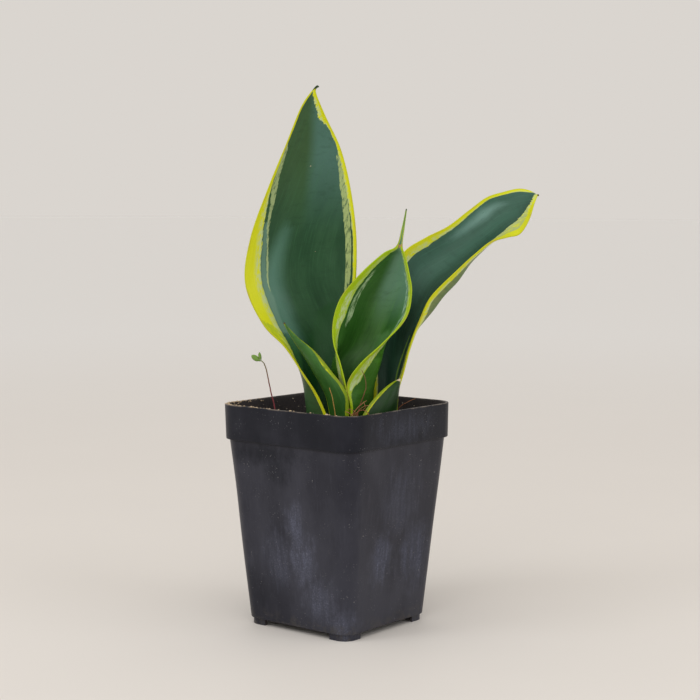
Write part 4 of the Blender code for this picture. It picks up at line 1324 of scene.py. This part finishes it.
CRUMBS = 620
SOIL_HALF = BAND_HALF - WALL - 2.2
rng = random.Random(7)
crumbs = []
pale_grains = []
while len(crumbs) < CRUMBS:
    x, y = rng.uniform(-SOIL_HALF, SOIL_HALF), rng.uniform(-SOIL_HALF, SOIL_HALF)
    if abs(x) + abs(y) > 2 * SOIL_HALF - 6.0:
        continue
    radius = rng.choice((0.5, 0.6, 0.7, 0.9, 1.1, 1.5))
    spot = (x, y, soil_height(x, y) + 0.15 * radius)
    kind = pale_grains if rng.random() < 0.02 else crumbs
    kind.append(lump(spot, radius, rng.uniform(0.5, 0.85), rng))
grain_finish = cloudy_finish("pale_grain", (0.20, 0.17, 0.13), (0.46, 0.42, 0.35), 0.8, 4.0, 0.55,
                             0.2, roughness=0.9)
make_heap("soil_crumbs", crumbs, soil_finish)
make_heap("pale_grains", pale_grains, grain_finish)
print("crumbs:", len(crumbs), "pale grains:", len(pale_grains))

# %% [markdown]
# Where the leaves meet, they grow from a short stem wrapped in dry papery scales.  Little of it is
# seen, so a low oval dome is enough, with its streaks running upwards.

# %% Crown
CROWN_POINTS = 64
crown_finish = cloudy_finish("papery_crown", (0.16, 0.11, 0.04), (0.42, 0.36, 0.14), 1.6, 4.0, 0.55,
                             0.3, tall=0.2, roughness=0.65)
crown_levels = [(0.72, 1.0), (0.88, 0.92), (0.95, 0.78), (1.0, 0.5), (0.985, 0.3), (0.96, 0.16),
                (0.91, 0.07), (0.8, 0.02), (0.5, 0.0)]
crown_rings = []
for share, depth in crown_levels:
    radii = [radius * share for radius in CROWN_RADII]
    crown_rings.append(crown_ring(radii, SOIL_TOP - CROWN_DEPTH * depth, CROWN_POINTS))
crown_piece = make_piece("crown_stem", *loft(crown_rings), crown_finish, "crown_stem")
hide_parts("crown")
print("crown rings:", len(crown_rings))


# %% [markdown]
# ## Strands: seedling stem, roots and fibres
#
# All of these are thin round threads that bend in space, so one builder serves them all.  A real
# fibre is never a clean pipe: it swells and thins along its length and kinks a little, and its
# colour changes from one end to the other.

# %% Thread builder
UNEVEN = 0.18    # how much a thread's radius changes along it, as a share
KINK = 0.12      # how far a thread strays from its path, in mm


def thread(points, radii, sides=10, steps=8, seed=0.0):
    """Points in mm, faces and the share along for a closed thread through the given points."""
    path = [Vector(p) for p in points]
    fine = []
    for i in range(len(path) - 1):
        before = path[max(i - 1, 0)]
        after = path[min(i + 2, len(path) - 1)]
        for step in range(steps):
            fine.append(smooth_between(before, path[i], path[i + 1], after, step / steps))
    fine.append(path[-1])
    last = len(fine) - 1
    made = []
    shares = []
    for i, point in enumerate(fine):
        ahead = fine[min(i + 1, last)] - fine[max(i - 1, 0)]
        frame_turn = ahead.to_track_quat("Z", "Y")
        wobble = Vector((noise.noise(Vector((i * 0.35, seed, 0))),
                         noise.noise(Vector((i * 0.35, seed, 7))), 0))
        radius = radii[0] + (radii[1] - radii[0]) * i / last
        radius *= 1 + UNEVEN * noise.noise(Vector((i * 0.8, seed, 3)))
        radius *= min(1.0, 0.35 + 0.65 * min(i, last - i) / 1.5)
        for k in range(sides):
            angle = k * math.tau / sides
            local = Vector((math.cos(angle), math.sin(angle), 0)) * radius + wobble * KINK
            made.append(point + frame_turn @ local)
            shares.append(i / last)
    rings = [made[i * sides:(i + 1) * sides] for i in range(last + 1)]
    return made, loft_faces(rings), shares


# %% Thread finish
def thread_finish(name, low_colour, high_colour, change=(0.2, 0.8), roughness=0.75):
    """A fibre whose colour goes from one end to the other, with dark flecks."""
    f = Finish(name, roughness=roughness, Specular_IOR_Level=0.3)
    share = f.measure("share")
    spot = f.position()
    colour = f.blend(f.step(share, *change), low_colour, high_colour)
    flecks = f.cloud(spot, 1.4, 4.0, 0.7)
    colour = f.blend(f.step(flecks, 0.45, 0.7, 0.0, 0.6), colour, shade(low_colour, 0.4))
    f.colour(colour)
    f.bump(f.cloud(f.stretch(spot, 3.0, 3.0, 0.6), 0.8, 3.0), 0.12)
    return f


# %% The named strands
THREAD_FINISHES = {
    "seedling": thread_finish("seedling_stem_skin", (0.26, 0.050, 0.060), (0.17, 0.20, 0.055),
                              (0.35, 0.95), 0.5),
    "pale": thread_finish("golden_root", (0.30, 0.15, 0.03), (0.52, 0.30, 0.08)),
    "brown": thread_finish("brown_root", (0.15, 0.055, 0.025), (0.20, 0.10, 0.045)),
    "coir": thread_finish("coconut_fibre", (0.24, 0.085, 0.035), (0.38, 0.16, 0.08)),
}
SEEDLING_ROOT = (-37.5, 5, 114)
STRANDS = [
    # node, slot, finish, radii at both ends, points seen from the front
    ("seedling_stem", "seedling_stem", "seedling", (0.45, 0.30), [
        SEEDLING_ROOT, (-37.6, 5, 121), (-38.2, 5, 130), (-40.2, 5, 138), (-41.8, 5, 146),
        (-43.2, 5, 152.5), (-44.6, 5, 156), (-46.2, 5, 157.4)]),
    ("root_pale", "pale_root", "pale", (0.38, 0.18), [
        (-0.5, -23.5, 115), (-0.8, -23.2, 121), (-1.6, -22.5, 129.5), (-3.2, -22, 138.5),
        (-5, -21.5, 144.2)]),
    ("root_brown", "brown_root", "brown", (0.35, 0.16), [
        (10, -22.5, 116), (12, -23, 130), (15.3, -22.5, 140), (16.6, -21.5, 145),
        (15.8, -20.5, 150.5), (13.8, -20, 154.5)]),
    ("coir_long", "coir_fibre", "coir", (0.33, 0.2), [
        (2.5, -25, 116), (7, -25.5, 126), (12, -25.2, 133), (17, -24.5, 137)]),
    ("coir_looped", "coir_fibre", "coir", (0.30, 0.2), [
        (5, -28, 116), (9.5, -28.2, 128), (13.5, -28, 131.5), (17.5, -27.6, 130), (19.5, -28, 124),
        (19.8, -28.4, 117)]),
    ("coir_short", "coir_fibre", "coir", (0.30, 0.2), [
        (13, -31, 116), (10.5, -30.8, 125.5), (7, -30.8, 130), (4.5, -30.5, 131)]),
    ("root_red", "coir_fibre", "coir", (0.32, 0.18), [
        (31, 21, 116), (37, 18.5, 127), (42, 17.5, 130.8), (47.5, 17, 133.5)]),
]
for number, (node, slot, kind, radii, path) in enumerate(STRANDS):
    points, faces, shares = thread(path, radii, seed=number * 3.7)
    strand = make_piece(node + "_thread", [from_front(*p) for p in points], faces,
                        THREAD_FINISHES[kind], slot, {"share": shares})
    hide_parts(node)

# %% [markdown]
# Finer fibres carry no name of their own.  Most lie on the soil wherever they fell, so chance
# draws them, and four more make a small tangle at the foot of the centre leaf.

# %% Fine loose fibres on the soil and in the tangle
LOOSE_FIBRES = 64
FIBRE_STRIDE = 3.2    # mm between the points of a loose fibre
FIBRE_LIMIT = 45      # how far from the pot's axis a loose fibre may go, in mm
TANGLE = [
    [(4, -27, 117), (7, -28, 127), (12, -27.5, 130.5), (16, -28.5, 133), (15, -27.5, 136.5)],
    [(8, -29, 117), (11, -29.5, 129), (14.5, -29, 133.5), (18.5, -28, 134.5)],
    [(2, -26.5, 117), (5.5, -27, 124), (10, -26.5, 128), (13, -27, 126), (14, -28, 118)],
    [(14, -26, 117), (12.5, -27, 127), (9, -27.5, 131.5), (5.5, -28, 132)],
]


def within(value, limit):
    return max(-limit, min(limit, value))


def loose_path():
    """Four points of a fibre that fell on the soil."""
    x, y = rng.uniform(-40, 40), rng.uniform(-40, 40)
    heading = rng.uniform(0, math.tau)
    path = []
    for step in range(4):
        heading += rng.uniform(-0.7, 0.7)
        lift = 0.5 + (1.6 * rng.random() if step in (1, 2) else 0.0)
        path.append((x, y, soil_height(x, y) + lift))
        x = within(x + FIBRE_STRIDE * math.cos(heading), FIBRE_LIMIT)
        y = within(y + FIBRE_STRIDE * math.sin(heading), FIBRE_LIMIT)
    return path


def make_fibres(name, threads, place):
    """One piece of many threads."""
    points, faces = gather([(points, faces) for points, faces, _ in threads])
    shares = [share for _, _, shares in threads for share in shares]
    make_piece(name, [place(*p) for p in points], faces, THREAD_FINISHES["coir"], "coir_fibre",
               {"share": shares})


loose = [thread(loose_path(), (0.16, 0.10), sides=6, steps=4, seed=number * 1.3)
         for number in range(LOOSE_FIBRES)]
tangle = [thread(path, (0.22, 0.12), sides=8, seed=20 + number)
          for number, path in enumerate(TANGLE)]
make_fibres("loose_fibres", loose, in_pot)
make_fibres("fibre_tangle", tangle, from_front)
print("strands:", len(STRANDS), "loose fibres:", len(loose) + len(tangle))


# %% [markdown]
# ## Seedling leaves
#
# The weed seedling carries two seed leaves, a pair of small ovals with a crease along the middle.
# They are tiny versions of the big leaves, so the same builder makes them from a few stations.

# %% Seedling leaves
def oval_stations(base, tip, width, fold, sideways):
    """Stations of a small oval leaf that is creased by fold mm."""
    base, tip, sideways = Vector(base), Vector(tip), Vector(sideways).normalized()
    square = (tip - base).cross(sideways).normalized()
    stations = []
    for share, wide in ((0.0, 0.16), (0.1, 0.42), (0.25, 0.8), (0.45, 1.0), (0.65, 0.96),
                        (0.82, 0.74), (0.94, 0.4), (1.0, 0.1)):
        middle = base.lerp(tip, share) - square * fold * math.sin(math.pi * share) * 0.4
        reach = sideways * width / 2 * wide
        lift = square * fold * wide
        stations.append((middle - reach + lift, middle, middle + reach + lift, 0))
    return stations


SEED_DARK = (0.110, 0.230, 0.030)
SEED_PALE = (0.22, 0.36, 0.07)
SEED_RIM = (0.20, 0.20, 0.06)
seed_leaf_finish = Finish("seed_leaf_skin", roughness=0.45, Specular_IOR_Level=0.35)
seed_cloud = seed_leaf_finish.cloud(seed_leaf_finish.position(), 1.6, 3.0)
seed_edge = seed_leaf_finish.math("MINIMUM", seed_leaf_finish.measure("from_left"),
                                  seed_leaf_finish.measure("from_right"))
seed_leaf_finish.colour(seed_leaf_finish.blend(
    seed_leaf_finish.step(seed_edge, 0.0, 0.25, 0.6, 0.0),
    seed_leaf_finish.blend(seed_cloud, SEED_DARK, SEED_PALE), SEED_RIM))
seed_leaf_finish.bump(seed_cloud, 0.08)
SEED_LEAVES = [
    ("seedling_leaf_left", (-46.9, 5, 157.4), (-51.9, 4.6, 160.6), 3.1, 0.5, (0.5, 0.35, 0.8)),
    ("seedling_leaf_right", (-46.2, 5.2, 158.0), (-47.2, 6.2, 162.4), 2.6, 0.7, (0.55, 0.8, 0.1)),
]
for node, base, tip, width, fold, sideways in SEED_LEAVES:
    stations = oval_stations(base, tip, width, fold, sideways)
    seed_leaf = build_leaf(node + "_blade", stations, (0.22, 0.12), seed_leaf_finish,
                           "seedling_leaf", count=24, steps=5, wave=0.0, rooted=0.5)
    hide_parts(node)

# %% [markdown]
# ## Bark chip, crust and dirt on the rim
#
# A flake of bark leans on the wall at the left, and dried soil and lime crust cling to the rim
# near that corner.  A few tan crumbs lie on the front rim, and small pale flakes stick to the
# inside of the walls.

# %% Bark chip
DARK_BARK = (0.10, 0.055, 0.030)
PALE_BARK = (0.32, 0.21, 0.13)
bark_finish = Finish("bark_flake", roughness=0.9, Specular_IOR_Level=0.2)
bark_grain = bark_finish.stretch(bark_finish.position(), 1.0, 1.0, 0.25)
bark_cloud = bark_finish.cloud(bark_grain, 1.3, 5.0, 0.7)
bark_finish.colour(bark_finish.blend(bark_finish.step(bark_cloud, 0.35, 0.65), DARK_BARK,
                                     PALE_BARK))
bark_finish.bump(bark_cloud, 0.6)
CHIP_OUTLINE = [(-4.2, 0), (-0.5, -0.6), (3.6, 0.2), (4.8, 4.0), (4.2, 6.6), (3.0, 9.5),
                (0.2, 10.4), (-1.4, 9.0), (-3.2, 8.2), (-3.9, 5.9), (-4.8, 3.4), (-4.1, 1.8)]
chip_place = (Matrix.Translation((-48.2, 8.0, 116.9)) @ Matrix.Rotation(math.radians(52), 4, "Z")
              @ Matrix.Rotation(math.radians(-10), 4, "X"))
chip_rings = []
for depth, grow in ((0.9, 0.80), (0.75, 0.95), (0.3, 1.0), (-0.1, 0.96), (-0.5, 1.0), (-0.8, 0.93),
                    (-0.95, 0.78)):
    ring = []
    for x, z in CHIP_OUTLINE:
        ragged = 1 + 0.06 * noise.noise(Vector((x, z, depth * 3)))
        ring.append(chip_place @ Vector((x * grow * ragged, depth, 5 + (z - 5) * grow * ragged)))
    chip_rings.append(ring)
chip_piece = make_piece("bark_flake", *loft(chip_rings, from_front), bark_finish, "bark",
                        smooth=False)
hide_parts("bark_chip")
print("bark chip faces:", len(chip_piece.data.polygons))

# %% Crust and crumbs on the rim
CRUST_LUMPS = 170
WALL_FLAKES = 46
FRONT_CRUMBS = [
    # x along the front rim, radius
    (-36, 0.8), (-33, 0.6), (-30, 0.7), (-24, 1.0), (-22.5, 0.8), (-20, 0.6), (-12, 0.6),
    (-10, 0.8), (-3, 0.6), (6, 0.9), (8.5, 0.6), (21, 0.6), (33, 1.0), (35, 0.7), (40, 0.6),
]
crust_finish = cloudy_finish("dry_crust", (0.24, 0.16, 0.09), (0.66, 0.54, 0.39), 1.2, 5.0, 0.7,
                             0.3, roughness=0.95, Specular_IOR_Level=0.15)
RIM_MIDDLE = RIM_HALF - WALL / 2
rim_line = square_ring(RIM_MIDDLE, RIM_CORNER - WALL / 2, RIM_TOP, flats=60)
dirty_corner = Vector((-RIM_MIDDLE, -RIM_MIDDLE, RIM_TOP))
rim_line.sort(key=lambda point: (point - dirty_corner).length)
crust = []
for number in range(CRUST_LUMPS):
    place = rim_line[int(rng.random() ** 2.0 * 56)]
    inward = -Vector((place.x, place.y, 0.0)).normalized()
    into = rng.uniform(-0.4, 1.3)
    drop = 2.2 * rng.random() ** 2 if into > 0.5 else 0.0
    spot = place + inward * into - Vector((0, 0, drop + 0.1))
    crust.append(lump(spot, rng.uniform(0.25, 0.5) + 0.5 * rng.random() ** 3, 0.6, rng))
for x, radius in FRONT_CRUMBS:
    crust.append(lump((x, -RIM_MIDDLE + 0.3, RIM_TOP + 0.05), radius, 0.6, rng))
make_heap("rim_crust", crust, crust_finish)

flakes = []
for number in range(WALL_FLAKES):
    along = rng.uniform(-38, 38)
    z = rng.uniform(120.5, 131)
    inner = RIM_HALF - WALL - 0.15 - 0.02 * (RIM_TOP - z)
    spot = (along, inner, z) if number % 2 else (-inner, along, z)
    flakes.append(lump(spot, rng.uniform(0.2, 0.6), 0.8, rng))
make_heap("wall_flakes", flakes, grain_finish)
print("crust lumps:", len(crust), "flakes:", len(flakes))
